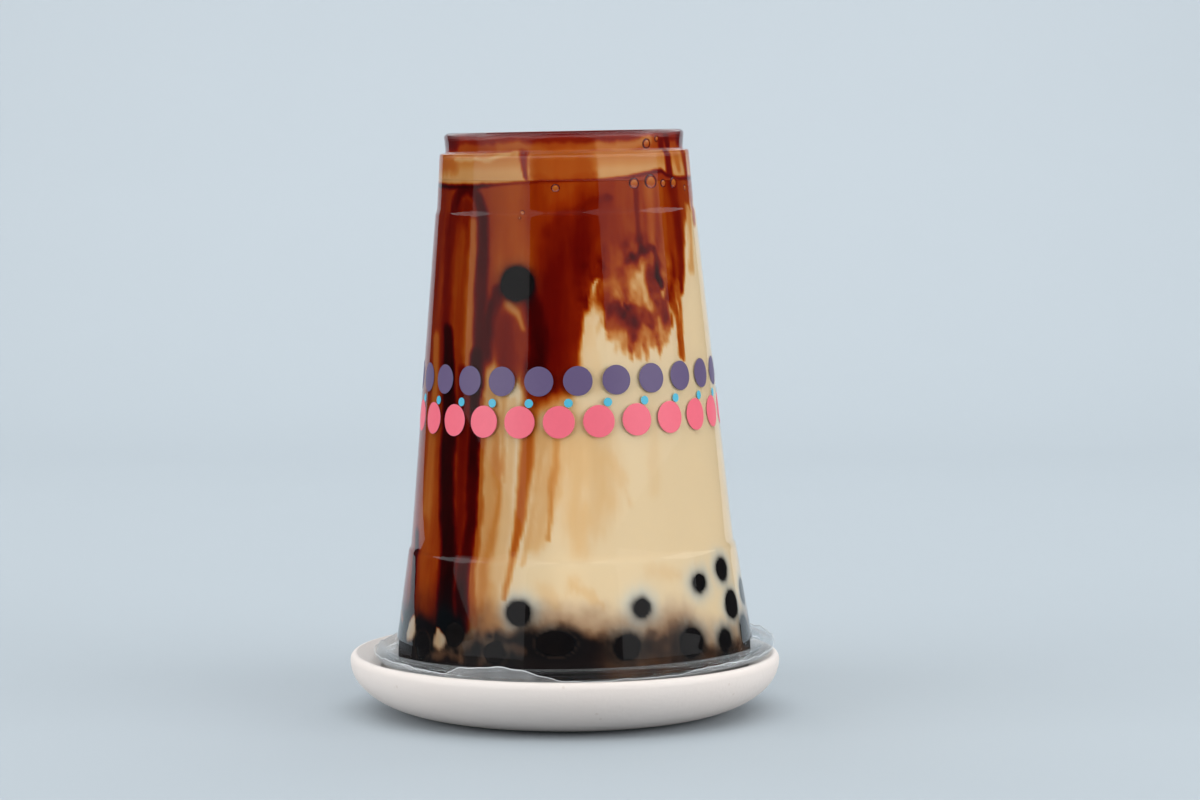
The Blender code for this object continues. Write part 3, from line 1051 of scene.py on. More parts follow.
FRONT_STREAKS = (
    # Amber syrup at the left and deep syrup in the middle
    Streak(((-25, 113), (-24, 104), (-24, 95)), (6.5, 6.0), 3.0, 0.8),
    Streak(((-10, 113), (-9, 104), (-8, 98)), (3.6, 3.0), 4.2, 0.8),
    Streak(((-18, 37), (-19.5, 32), (-21.5, 25), (-23, 18)), (1.1, 0.6), 1.9, 0.8, 0.85, 0.2),
    Streak(
        ((-13, 64), (-15, 54.5), (-16, 46), (-17, 39.5), (-19, 33), (-20.5, 28)),
        (2.3, 0.7),
        2.6,
        0.6,
        0.96,
        0.3,
    ),
    Streak(((7, 102), (5, 97), (1, 89), (-2, 82)), (6.4, 5.4), 7.4, 0.75),
    Streak(((0, 88), (-3, 80), (-5, 73), (-8, 67)), (5.0, 4.6), 6.4, 0.6, ragged=0.9),
    Streak(((-6, 102), (2, 106), (11, 107.6), (20, 109.4)), (1.5, 0.7), 6.6, 0.9),
    Streak(((18, 105), (19, 96)), (3.2, 3.2), 4.6, 0.8),
    Streak(((13, 89.5), (9.5, 84), (8.2, 77), (9.5, 68)), (0.8, 2.7), 0.15, 0.4, 0.97, 0.6),
    # An arch of dark syrup under the surface, amber inside
    Streak(((-48, 106), (-47, 99)), (2.6, 2.6), 5.6, 0.8),
    Streak(((-44, 103), (-42.5, 91), (-41.5, 82), (-42, 72)), (1.6, 1.9), 2.1, 0.7),
    Streak(((-51, 100), (-51, 88), (-50, 76)), (1.7, 1.7), 3.6, 0.8),
    Streak(((-73, 110), (-74, 95), (-73, 80), (-69, 66)), (3.6, 3.2), 4.8, 0.9),
    Streak(((-57, 108), (-60, 101), (-60, 91), (-59, 79), (-57, 70)), (1.8, 2.6), 6.8, 0.6),
    Streak(
        (
            (-59, 106),
            (-55, 109.8),
            (-48.5, 111.1),
            (-42, 109.6),
            (-38.5, 104),
            (-37, 96),
            (-36.5, 86),
            (-36, 76),
            (-37, 68),
        ),
        (1.2, 1.8),
        9.0,
        0.55,
        ragged=0.3,
    ),
    # Dark threads, a brown mass and a milky wedge round the high pearl
    Streak(((-15, 88), (-12.5, 81), (-11, 74), (-12, 68)), (1.5, 1.8), 11.0, 0.8),
    Streak(((-28, 88), (-31.5, 81), (-34, 74), (-35, 68)), (1.3, 1.8), 9.5, 0.6),
    Streak(((-26, 81), (-25, 76), (-24, 70)), (2.4, 2.6), 5.6, 0.6),
    Streak(((-23.5, 85), (-20, 82.5), (-17.2, 79)), (1.1, 0.35), 1.2, 0.7, 0.9, 0.25),
    # A cloud of syrup that breaks up over the milk at the right
    Streak(((17, 94), (22, 91)), (3.0, 2.0), 5.2, 0.9, ragged=1.0),
    Streak(((15.5, 86), (20, 83), (25, 81)), (2.2, 1.6), 5.6, 0.95, ragged=1.3),
    Streak(((25, 84), (31, 81.5), (35, 79)), (2.5, 1.6), 6.2, 0.95, ragged=1.3),
    Streak(((36, 84), (42, 82), (46, 81)), (2.2, 1.4), 5.4, 0.95, ragged=1.3),
    Streak(((22, 88), (26, 86)), (1.3, 1.0), 2.2, 0.95, 0.8, 0.9),
    Streak(((20, 78), (26, 76.5), (33, 77)), (1.6, 1.4), 1.9, 0.98, 0.8, 1.4),
    Streak(((36, 77), (42, 76)), (1.4, 1.2), 2.2, 0.98, 0.8, 1.4),
    Streak(((32.6, 92.0), (33.6, 86.5)), (1.6, 1.7), 0.7, 0.85, 1.0, 0.6),
    Streak(((29, 88), (30, 85)), (0.9, 0.7), 1.4, 0.95, 0.8, 0.6),
    Streak(((43, 90), (43.8, 86.5)), (1.1, 0.9), 0.8, 0.85, 0.95, 0.5),
    Streak(((40.0, 80.5), (41, 77.0)), (1.0, 0.8), 1.0, 0.9, 0.9, 0.7),
    Streak(((20, 86.5), (21.5, 84)), (0.7, 0.6), 1.2, 0.95, 0.8, 0.7),
    Streak(((34, 111), (34, 104), (33.5, 99)), (0.7, 0.8), 6.5, 0.7, ragged=0.25),
    Streak(((29, 96), (35, 97), (41, 96), (43.5, 92.5), (43, 88.5)), (1.1, 0.8), 9.0, 0.6, ragged=0.35),
    Streak(((41.5, 111), (42, 104), (40.5, 98.5)), (1.3, 0.8), 2.5, 0.6, 0.85, 0.25),
    # Streaks beside it, down the right
    Streak(((48, 111), (48, 99), (49.5, 90), (51, 80), (52, 72)), (1.0, 0.7), 3.0, 0.5, ragged=0.3),
    Streak(((57, 112), (58, 102), (58, 94), (55.5, 87)), (1.7, 1.1), 6.8, 0.8, ragged=0.3),
    Streak(((53.5, 88), (53.5, 79), (53, 71)), (0.9, 0.4), 2.7, 0.7, ragged=0.3),
    Streak(((70, 106), (69, 98), (67, 92)), (1.0, 1.5), 0.9, 0.8),
    Streak(((79, 110), (77, 103)), (1.5, 1.2), 2.8, 0.8),
    # Columns at the left: amber, black, red, black
    Streak(((-67, 76), (-64, 62), (-63, 56), (-64, 45), (-65, 33)), (1.6, 3.0), 2.15, 0.6, ragged=0.3),
    Streak(((-66, 33), (-62.5, 25), (-60, 18), (-58, 12)), (2.9, 2.2), 3.1, 0.5, ragged=0.3),
    Streak(((-74, 30), (-71, 22), (-69, 13)), (1.5, 1.6), 11.0, 0.6, ragged=0.3),
    Streak(
        ((-45, 70), (-44.6, 57), (-44.4, 46), (-44, 34), (-45.5, 23), (-45, 16)),
        (1.6, 1.6),
        6.6,
        0.5,
        ragged=0.3,
    ),
    Streak(
        ((-57, 78), (-54, 67), (-52.5, 57), (-52, 45), (-50, 34), (-48, 24), (-46, 12)),
        (2.0, 2.7),
        15.0,
        0.4,
        ragged=0.35,
    ),
    Streak(
        ((-38, 74), (-38.2, 57), (-38.2, 46), (-38, 34), (-39.5, 23), (-38, 12)),
        (1.8, 2.0),
        12.0,
        0.4,
        ragged=0.3,
    ),
    # Golden columns where the syrup thins into milk
    Streak(((-31, 70), (-31, 57), (-30.5, 46), (-30, 34), (-31.5, 24), (-29, 12)), (2.2, 3.6), 0.85, 0.7),
    Streak(
        ((-34.6, 64), (-34.6, 46), (-34.4, 34), (-35.4, 24), (-33.5, 12)),
        (0.7, 0.8),
        2.5,
        0.7,
        ragged=0.3,
    ),
    Streak(
        ((-28.5, 62), (-28, 49), (-27, 40), (-29, 32), (-31, 23), (-31.5, 15)),
        (0.8, 0.9),
        1.7,
        0.95,
        0.6,
        0.5,
    ),
    Streak(((-25, 66), (-25.5, 54), (-25, 44)), (0.7, 0.5), 1.4, 0.95, 0.5, 0.5),
    Streak(((-22, 63), (-22.5, 52), (-23, 44), (-24, 34), (-25.5, 23)), (1.0, 1.7), 0.35, 0.7),
    Streak(((-3, 60), (-6, 50), (-9, 40), (-13, 30)), (3.0, 1.6), 0.55, 0.98, 0.9, 0.8),
    Streak(((-9, 55), (-11, 45), (-14, 35), (-17, 26)), (1.0, 0.6), 0.9, 0.98, 0.6),
    Streak(((-6, 64), (-4.3, 57), (-5, 49), (-7, 40.5), (-8, 32)), (0.8, 0.3), 1.4, 0.95, 0.65, 0.3),
    # Golden clouds in the milk
    Streak(((9, 54), (12, 44), (8, 36)), (4.2, 3.6), 0.36, 0.99, 0.75, 1.2),
    Streak(((14, 50), (19, 45), (22, 39)), (1.2, 0.9), 0.30, 0.99, 0.6, 0.8),
    Streak(((0, 62), (3, 50), (1, 40), (3, 30)), (3.0, 2.4), 0.34, 0.99, 0.7, 0.8),
    Streak(((30, 66), (33, 54), (32, 42)), (1.6, 1.4), 0.16, 0.99, 0.7, 0.8),
    Streak(((1, 21.5), (6, 19), (9, 17)), (1.5, 1.0), 0.45, 0.99, 0.5, 1.3),
    Streak(((-10, 20), (-6, 17)), (1.8, 1.2), 0.3, 0.99, 0.6, 1.0),
    Streak(((30, 23), (38, 21)), (1.8, 1.2), 0.25, 0.99, 0.6, 1.0),
)

COAT_STREAKS = (
    Streak(((-82, 117), (-62, 117)), (2.6, 2.0), 2.1, 0.8),
    # A painted highlight: a paler line along the top of the shoulder band
    Streak(((-60, 118.6), (-20, 118.6)), (0.5, 0.5), 0.55, 0.9, 0.8, 0.15),
    Streak(((-8, 117), (7, 117)), (3.2, 3.2), 2.7, 0.5, ragged=0.3),
    Streak(((-12, 114.2), (0, 114), (12, 114.4)), (1.0, 1.0), 3.4, 0.9, 0.7, 0.4),
    Streak(((-18.5, 120), (-17.3, 117), (-16.3, 113.6)), (1.3, 0.5), 6.0, 0.5, ragged=0.2),
    Streak(((53.5, 120), (55, 117), (56, 112)), (1.1, 1.1), 7.5, 0.5, ragged=0.2),
    Streak(((62, 119), (65, 115)), (1.3, 1.1), 2.0, 0.6, ragged=0.2),
    Streak(((72, 119), (74, 113)), (1.0, 0.9), 4.6, 0.7, ragged=0.2),
    Streak(((80, 119), (82, 115)), (1.2, 1.0), 2.4, 0.6, ragged=0.2),
    Streak(((16, 121.2), (46, 121.4)), (1.2, 1.2), 1.7, 0.7, ragged=0.3),
    Streak(((-30, 120.6), (0, 120.4), (12, 120.8)), (1.0, 0.9), 2.4, 0.8, ragged=0.3),
    Streak(((-90, 122), (-66, 122.5)), (2.6, 2.2), 9.0, 0.6),
    Streak(((56, 124), (60, 120)), (1.5, 1.2), 8.5, 0.5, ragged=0.3),
    Streak(((74, 123), (90, 122)), (2.0, 2.4), 9.0, 0.6),
)

MILK_AT_BED = (
    Streak(((-66.5, 11.6), (-67.0, 8.6)), (0.7, 2.6), 0.3, 0.3, 0.85, 0.35),
    Streak(((-49.2, 9.4), (-48.0, 7.0)), (0.5, 2.1), 0.35, 0.3, 0.85, 0.3),
    Streak(((-82, 11.0), (-76, 9.0)), (0.9, 0.8), 0.6, 0.5, 0.5, 0.3),
    Streak(((-39, 6.0), (-34, 8.6), (-29, 8.2), (-25, 5.5)), (1.0, 0.8), 0.5, 0.99, 0.13, 0.9),
    Streak(((-36, 12.4), (-31, 11.4), (-25, 12.0)), (1.6, 1.2), 0.9, 0.99, 0.36, 1.1),
    Streak(((-31, 4.0), (-24, 6.4), (-17, 5.8)), (0.9, 0.7), 0.3, 0.99, 0.08, 0.9),
    Streak(((-50, 3.5), (-44, 4.6), (-38, 4.0)), (0.9, 0.8), 0.3, 0.99, 0.10, 0.7),
)


@dataclass
class Marbling:
    """Paints syrup and shade on places of the wall.

    front is the line where the milk ends and the syrup begins, surface the drink's top, and meniscus how dark
    a line it draws. A fade is the heights, over the bed or the mouth, between which something comes or goes.
    Each of coat_rises is such a pair, what it adds to the coat's depth, and how ragged it is.
    """

    milk_depth: float = 0.03
    syrup_depth: float = 3.9
    front: tuple[Point, ...] = (
        (-180, 44),
        (-150, 26),
        (-120, 12),
        (-95, 9),
        (-60, 9),
        (-39, 10),
        (-34, 62),
        (-29, 74),
        (-22, 70),
        (-14, 65),
        (-4, 64),
        (2, 68),
        (4, 76),
        (7, 84),
        (12, 89),
        (15, 82),
        (18, 77),
        (22, 80),
        (25, 74),
        (29, 79),
        (32, 73.5),
        (36, 78),
        (40, 74),
        (44, 79),
        (49, 84),
        (54, 89),
        (60, 95),
        (66, 102),
        (76, 108),
        (100, 108),
        (125, 92),
        (150, 68),
        (165, 50),
        (180, 44),
    )
    surface: tuple[Point, ...] = (
        (-180, 113.0),
        (-90, 112.4),
        (-62, 112.0),
        (-42, 112.1),
        (-26, 112.7),
        (-10, 113.1),
        (15, 113.2),
        (30, 113.6),
        (44, 114.6),
        (50, 114.9),
        (54, 113.6),
        (62, 113.0),
        (90, 112.8),
        (180, 113.0),
    )
    meniscus: tuple[Point, ...] = (
        (-180, 0.6),
        (-90, 0.9),
        (-62, 1.0),
        (-40, 0.85),
        (-32, 0.35),
        (0, 0.28),
        (22, 0.22),
        (34, 0.5),
        (50, 0.8),
        (60, 0.5),
        (90, 0.7),
        (180, 0.6),
    )
    front_soft: float = 1.8
    front_ragged: float = 2.4
    warp: float = 1.1
    back_streaks: int = 26
    back_first: float = 92.0
    back_span: float = 176.0
    back_syrup: float = 190.0
    cloud_contrast: float = 0.9
    settled: float = 0.22
    settled_fade: Point = (0.0, 7.0)
    bed_syrup: float = 0.7
    bed_syrup_fade: Point = (-3.0, 5.0)
    surface_ragged: float = 0.12
    surface_soft: float = 0.25
    line_half: float = 0.22
    line_spread: float = 0.28
    line_depth: float = 13.0
    coat_depth: float = 0.85
    coat_rises: tuple[tuple[float, float, float, float], ...] = (
        (115.0, 118.8, 0.75, 0.0),
        (119.2, 119.7, 1.5, 0.0),
        (121.3, 122.4, 2.4, 0.4),
        (123.2, 124.0, 4.0, 0.0),
    )
    pool_edge: Point = (23.5, 26.5)
    pool_depth: float = 3.4
    pool_mottle: float = 0.75
    pearl_darkness: float = 0.985
    pearl_ragged: float = 0.22
    ring_gap: float = 0.45
    ring_half: float = 0.2
    ring_light: float = 0.03
    ring_fade: Point = (1.5, 3.0)
    milk_light: float = 0.9
    milk_cover: float = 1.3
    halo_reach: float = 1.9
    halo_ragged: float = 0.5
    halo_strength: float = 0.6
    halo_syrup: float = 0.6
    seed: int = 5

    def back(self) -> list[Streak]:
        """Streaks round the back, alternately dark, amber and milky, by a seeded draw."""
        draw = random.Random(self.seed)
        streaks = []
        for index in range(self.back_streaks):
            share = (self.back_span * (index + draw.uniform(0.1, 0.9))) / self.back_streaks
            azimuth = self.back_first + share
            syrupy = azimuth > self.back_syrup
            high = draw.choice((draw.uniform(84.0, 106.0), 113.0, 113.0))
            low = draw.uniform(12.0, 30.0) if syrupy else draw.uniform(40.0, 80.0)
            depth = draw.choice((2.6, 4.0, 7.5, 13.0)) if syrupy else draw.choice((1.1, 2.6, 3.6, 7.0))
            drift = draw.uniform(-5.0, 5.0)
            path = ((azimuth, high), (azimuth + 0.4 * drift, (high + low) / 2), (azimuth + drift, low))
            ends = (draw.uniform(1.0, 2.6), draw.uniform(0.4, 1.8))
            streaks.append(Streak(path, ends, depth, draw.uniform(0.6, 0.9), ragged=0.9))
        return streaks

    def drink(self, places: Places, bed: "PearlBed") -> np.ndarray:
        """Depth of syrup on the drink's side."""
        line = np.interp(places.azimuth, [a for a, _ in self.front], [h for _, h in self.front])
        above = places.height - line + self.front_ragged * places.rough
        share = smoothstep(-self.front_soft, self.front_soft * 2.0, above)
        depth = self.milk_depth + (self.syrup_depth - self.milk_depth) * share
        for streak in (*self.back(), *FRONT_STREAKS):
            depth = depth + (streak.depth - depth) * streak.cover(places)
        depth = depth * np.exp(self.cloud_contrast * places.cloud * np.clip(places.mottle, -1.0, 1.0))
        over_bed = bed.height_above(places)
        depth = depth + self.settled * (1.0 - smoothstep(*self.settled_fade, over_bed))
        depth = np.maximum(depth, self.bed_syrup * (1.0 - smoothstep(*self.bed_syrup_fade, over_bed)))
        for streak in MILK_AT_BED:
            cover = np.minimum(1.0, self.milk_cover * streak.cover(places))
            depth = depth + (streak.depth - depth) * cover
        return self.surfaced(depth, places)

    def surfaced(self, depth: np.ndarray, places: Places) -> np.ndarray:
        """The depth below the surface's line, the clinging syrup's above it, and a dark line between them."""
        height = places.points[:, 2] / MM
        azimuth = np.degrees(np.arctan2(places.points[:, 0], -places.points[:, 1]))
        line = np.interp(azimuth, [a for a, _ in self.surface], [h for _, h in self.surface])
        strength = np.interp(azimuth, [a for a, _ in self.meniscus], [m for _, m in self.meniscus])
        above = height - line + self.surface_ragged * places.rough
        share = smoothstep(-self.surface_soft, self.surface_soft, above)
        depth = depth + (self.coat(places) - depth) * share
        mark = np.exp(-((above / (self.line_half + self.line_spread * strength)) ** 2)) * strength
        return depth + (np.maximum(self.line_depth, depth) - depth) * mark

    def coat(self, places: Places) -> np.ndarray:
        """Depth of the syrup that clings to the cup above the drink."""
        height = places.points[:, 2] / MM
        depth = np.full(len(height), self.coat_depth)
        for low, high, more, ragged in self.coat_rises:
            depth = depth + more * smoothstep(low, high, height + ragged * places.rough)
        at_wall = smoothstep(*self.pool_edge, places.radius)
        for streak in COAT_STREAKS:
            depth = depth + (streak.depth - depth) * streak.cover(places) * at_wall
        pooled = self.pool_depth * np.exp(self.pool_mottle * places.mottle)
        return pooled + (depth - pooled) * at_wall

    def shade(self, places: Places, pearls: list[Pearl], bed: "PearlBed") -> np.ndarray:
        """How dark the pearls behind make each place, with the bed's painted shade above it, from 0 to 1."""
        light = np.ones(len(places.points))
        rings = np.zeros(len(places.points))
        height = places.points[:, 2] / MM
        for pearl in pearls:
            gap = pearl.gap(places.points) + self.pearl_ragged * places.rough
            light *= 1.0 - self.pearl_darkness * np.exp(-np.maximum(gap, 0.0) / pearl.halo)
            rings = np.maximum(rings, np.exp(-(((gap - self.ring_gap) / self.ring_half) ** 2)))
        dark = bed.dark(places)
        # The bed darkens its own band, and its painted shade reaches up into the milk above it
        light = light * (1.0 - np.maximum(dark, bed.haze(places)))
        light = light + self.ring_light * rings * dark * smoothstep(*self.ring_fade, height)
        for streak in MILK_AT_BED:
            light = light + (self.milk_light - light) * streak.cover(places)
        return np.clip(1.0 - light, 0.0, 1.0)

    def halo(self, places: Places, pearls: list[Pearl], depth: np.ndarray) -> np.ndarray:
        """How far the cool, pale halo round each pearl shows, from 0 to 1, where there is little syrup."""
        halo = np.zeros(len(places.points))
        for pearl in pearls:
            gap = np.maximum(pearl.gap(places.points) + self.halo_ragged * places.rough, 0.0)
            halo = np.maximum(halo, np.exp(-((gap / self.halo_reach) ** 2)))
        return self.halo_strength * halo * np.exp(-depth / self.halo_syrup)


LOOSE_PEARLS: dict[str, Pearl] = {
    "pearl_01": Pearl(-20.4, 89.5, 4.7, 4.0, 1.0, 0.75),
    "pearl_02": Pearl(-17.6, 14.3, 4.4, 2.8, 1.0, 0.5),
    "pearl_03": Pearl(23.4, 14.6, 4.1, 1.7, 1.1, 0.4),
    "pearl_04": Pearl(48.1, 18.8, 4.1, 2.0, 1.0, 0.5),
    "pearl_05": Pearl(62.4, 21.0, 4.1, 2.6, 1.0, 0.5),
    "pearl_06": Pearl(66.0, 12.6, 4.1, 3.3, 1.0, 0.5),
    "pearl_07": Pearl(81.0, 14.3, 4.0, 3.0, 1.0, 0.5),
}


@dataclass
class PearlBed:
    """The heap of pearls on the film: those that show at the wall, over a low dark core."""

    front: tuple[Pearl, ...] = (
        Pearl(-87.0, 5.4, 4.3, 2.6),
        Pearl(-73.0, 8.8, 4.4, 2.7),
        Pearl(-57.5, 5.1, 4.3, 3.0),
        Pearl(-41.5, 8.6, 4.4, 2.9),
        Pearl(-25.5, 5.2, 4.3, 2.6),
        Pearl(-5.5, 7.9, 5.0, 4.4, 0.66),
        Pearl(17.5, 6.2, 4.3, 2.9),
        Pearl(41.0, 5.8, 4.4, 3.4),
        Pearl(57.7, 4.7, 4.1, 2.5),
        Pearl(74.7, 5.6, 4.1, 3.5),
    )
    top: tuple[Point, ...] = (
        (-180, 9.5),
        (-120, 10.0),
        (-90, 11.0),
        (-75, 11.5),
        (-62, 12.5),
        (-54, 11.5),
        (-46, 14.0),
        (-40, 13.0),
        (-34, 11.0),
        (-22, 9.2),
        (-14, 10.0),
        (0, 10.4),
        (14, 9.6),
        (22, 8.8),
        (29, 7.6),
        (40, 8.2),
        (46, 6.0),
        (51, 4.0),
        (57, 3.4),
        (64, 3.8),
        (75, 6.0),
        (90, 7.5),
        (120, 9.0),
        (180, 9.5),
    )
    ragged: float = 1.5
    darkness: float = 0.990
    dark_fade: Point = (-1.5, 6.4)
    milky_from: Point = (4.0, 18.0)
    milky_to: Point = (70.0, 90.0)
    milkiness: float = 0.07
    milky_base: float = 0.6
    # Painted shade that the bed throws up into the milk: how strong, and the heights over the bed where it
    # fades
    painted_shade_strength: float = 0.5
    painted_shade_fade: Point = (1.0, 9.5)
    core_height: float = 0.0052
    core_dome: float = 0.0026
    core_gap: float = 0.0004
    core_round: float = 0.001
    back_count: int = 12
    steps: int = 80
    seed: int = 7

    def pearls(self) -> list[Pearl]:
        """All pearls of the bed, with those round the back by a seeded draw."""
        draw = random.Random(self.seed)
        first = self.front[-1].azimuth
        step = (360.0 + self.front[0].azimuth - first) / (self.back_count + 1)
        back = []
        for index in range(self.back_count):
            azimuth = first + step * (index + 1) + draw.uniform(-1.5, 1.5)
            height = 5.2 + draw.uniform(0.0, 3.6)
            radius = 4.4 * draw.uniform(0.93, 1.04)
            back.append(Pearl(azimuth, height, radius, 2.0 + draw.uniform(0.0, 1.2)))
        return [*self.front, *back]

    def height_above(self, places: Places) -> np.ndarray:
        """How far places lie above the bed's top edge, in millimetres."""
        line = np.interp(places.azimuth, [a for a, _ in self.top], [h for _, h in self.top])
        return places.height - line + self.ragged * places.mottle

    def dark(self, places: Places) -> np.ndarray:
        """How dark the bed makes each place, from 0 to 1: a little less at the right, where milk gets in."""
        dark = self.darkness * (1.0 - smoothstep(*self.dark_fade, self.height_above(places)))
        right = smoothstep(*self.milky_from, places.azimuth)
        right = right * (1.0 - smoothstep(*self.milky_to, places.azimuth))
        return dark * (1.0 - self.milkiness * right * (self.milky_base + places.mottle))

    def haze(self, places: Places) -> np.ndarray:
        """How far the painted shade that the bed throws reaches up into the milk, from 0 to 1."""
        return self.painted_shade_strength * (1.0 - smoothstep(*self.painted_shade_fade, self.height_above(places)))

    def core(self) -> bmesh.types.BMesh:
        """The core that the pearls lie on, in the cup's frame."""
        radius = WALL.skirt_foot[0] - WALL.thickness - self.core_gap
        top = self.core_height
        profile = [
            (0.0, top + self.core_dome),
            (0.5 * radius, top + 0.75 * self.core_dome),
            (0.8 * radius, top + 0.3 * self.core_dome),
            (radius - 0.0012, top),
            (radius - 0.0002, 0.0004),
            (radius - 0.0006, 0.0),
            (0.0, 0.0),
        ]
        return spun_mesh(rounded(profile, self.core_round), self.steps)


@dataclass
class Pearls:
    """Builds the tapioca: each loose pearl is a piece, and the bed with its core is one more."""

    proud: float = 0.00008
    detail: int = 4
    lump: float = 0.035
    lump_scale: float = 260.0
    lump_spread: float = 900.0
    patch: float = 0.62
    bed: PearlBed = field(default_factory=PearlBed)
    finish: Tapioca = field(default_factory=Tapioca)

    def loose(self) -> dict[str, Pearl]:
        """Every loose pearl by its node, with those round the back placed from the frame."""
        into_cup = STANCE.matrix().inverted()
        found = dict(LOOSE_PEARLS)
        for name in sorted(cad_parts):
            if not name.startswith("pearl_") or name in found or name == "pearl_bed":
                continue
            low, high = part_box(name)
            middle = into_cup @ ((low + high) / 2)
            azimuth = math.degrees(math.atan2(middle.x, -middle.y))
            radius = (high.z - low.z) / 2 / MM
            found[name] = Pearl(azimuth, middle.z / MM, radius, self.patch * radius)
        return found

    def ball(self, pearl: Pearl) -> bmesh.types.BMesh:
        """One pearl, pressed flat where it meets the wall, in the cup's frame."""
        shape = bmesh.new()
        bmesh.ops.create_icosphere(shape, subdivisions=self.detail, radius=pearl.radius * MM)
        centre = pearl.centre()
        for vert in shape.verts:
            place = vert.co * self.lump_scale + centre * self.lump_spread
            lumps = 1.0 + self.lump * noise.noise(place)
            vert.co = vert.co * lumps
            vert.co.z *= pearl.tall
            place = vert.co + centre
            wall = WALL.outer_radius(place.z) - WALL.thickness + self.proud
            reach = place.xy.length
            if reach > wall:
                place.xy = place.xy * (wall / reach)
            vert.co = place
        return shape

    def build(self) -> list[Pearl]:
        """Makes all the tapioca.

        Returns:
            Every pearl, for the shade that they throw on the drink.
        """
        material = self.finish.build()
        loose = self.loose()
        for name, pearl in loose.items():
            shape = self.ball(pearl)
            shape.transform(STANCE.matrix())
            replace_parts(finished(shape, name + "_tapioca", material), name)
        heap = self.bed.core()
        for pearl in self.bed.pearls():
            part = self.ball(pearl)
            mesh = bpy.data.meshes.new("pearl_of_bed")
            part.to_mesh(mesh)
            part.free()
            heap.from_mesh(mesh)
            bpy.data.meshes.remove(mesh)
        heap.transform(STANCE.matrix())
        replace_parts(finished(heap, "pearl_bed_tapioca", material), "pearl_bed")
        return [*loose.values(), *self.bed.pearls()]


@dataclass
class Drink:
    """The drink as a skin that reaches just into the wall, up to a level surface."""

    level: float = LEVEL
    into_wall: float = INTO_WALL
    into_film: float = 0.00030
    row_spacing: float = 0.00058
    top_spacing: float = 0.00034
    surface_spacing: float = 0.0012
    floor_spacing: float = 0.004
    corner: float = 0.0006
    top_zone: float = 0.0075
    steps: int = 384
    marbling: Marbling = field(default_factory=Marbling)
    finish: SyrupAndMilk = field(default_factory=lambda: SyrupAndMilk("milk_and_syrup"))

    def profile(self) -> list[Point]:
        """The section, from the middle of the surface down the wall to the middle of the film."""
        top = STANCE.level(0.0, self.level)
        inside = WALL.inner_line(-self.into_wall)
        side = [(radius, height) for radius, height in inside if height < top - MM]
        wall_top = WALL.outer_radius(top) - WALL.thickness + self.into_wall
        bend = top - self.top_zone
        wall_bend = WALL.outer_radius(bend) - WALL.thickness + self.into_wall
        upper = spaced([(wall_top, top), (wall_bend, bend)], self.top_spacing)
        foot = (side[-1][0], -self.into_film)
        below = [point for point in side if point[1] < bend]
        lower_corners = rounded([*below, foot], self.corner, 3)
        lower = spaced([upper[-1], *lower_corners], self.row_spacing)
        surface = spaced([(0.0, top), (wall_top, top)], self.surface_spacing)
        floor = spaced([foot, (0.0, -self.into_film)], self.floor_spacing)
        return [*surface, *upper[1:], *lower[1:], *floor[1:]]

    def build(self, pearls: list[Pearl], bed: PearlBed) -> bpy.types.Object:
        """Makes the drink, which stands for the frame's solid one.

        Args:
            pearls: What shades it.
            bed: The bed, whose top it darkens towards.

        Returns:
            The drink.
        """
        shape = spun_mesh(self.profile(), self.steps)
        top = STANCE.level(0.0, self.level)
        bend = top - self.top_zone
        for vert in shape.verts:
            if vert.co.z > bend:
                share = (vert.co.z - bend) / self.top_zone
                vert.co.z += share * (STANCE.level(vert.co.x, self.level) - top)
        shape.verts.index_update()
        points = np.array([vert.co for vert in shape.verts])
        shape.transform(STANCE.matrix())
        piece = finished(shape, "milk_tea", self.finish.build())
        places = Places.of(points, self.marbling.warp)
        depth = self.marbling.drink(places, bed)
        values = {
            Paint.SYRUP: depth / self.finish.deepest,
            Paint.SHADE: self.marbling.shade(places, pearls, bed),
            Paint.HALO: self.marbling.halo(places, pearls, depth),
        }
        write_attributes(piece, values)
        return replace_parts(piece, "drink")


def write_attributes(piece: bpy.types.Object, values: dict[Paint, np.ndarray]) -> None:
    """Writes one number a point for each attribute of the drink's material, 0 where values has none."""
    none = np.zeros(len(piece.data.vertices))
    for paint in (Paint.SYRUP, Paint.SHADE, Paint.HALO):
        attribute = piece.data.attributes.new(paint.value, "FLOAT", "POINT")
        attribute.data.foreach_set("value", values.get(paint, none).astype(np.float32))


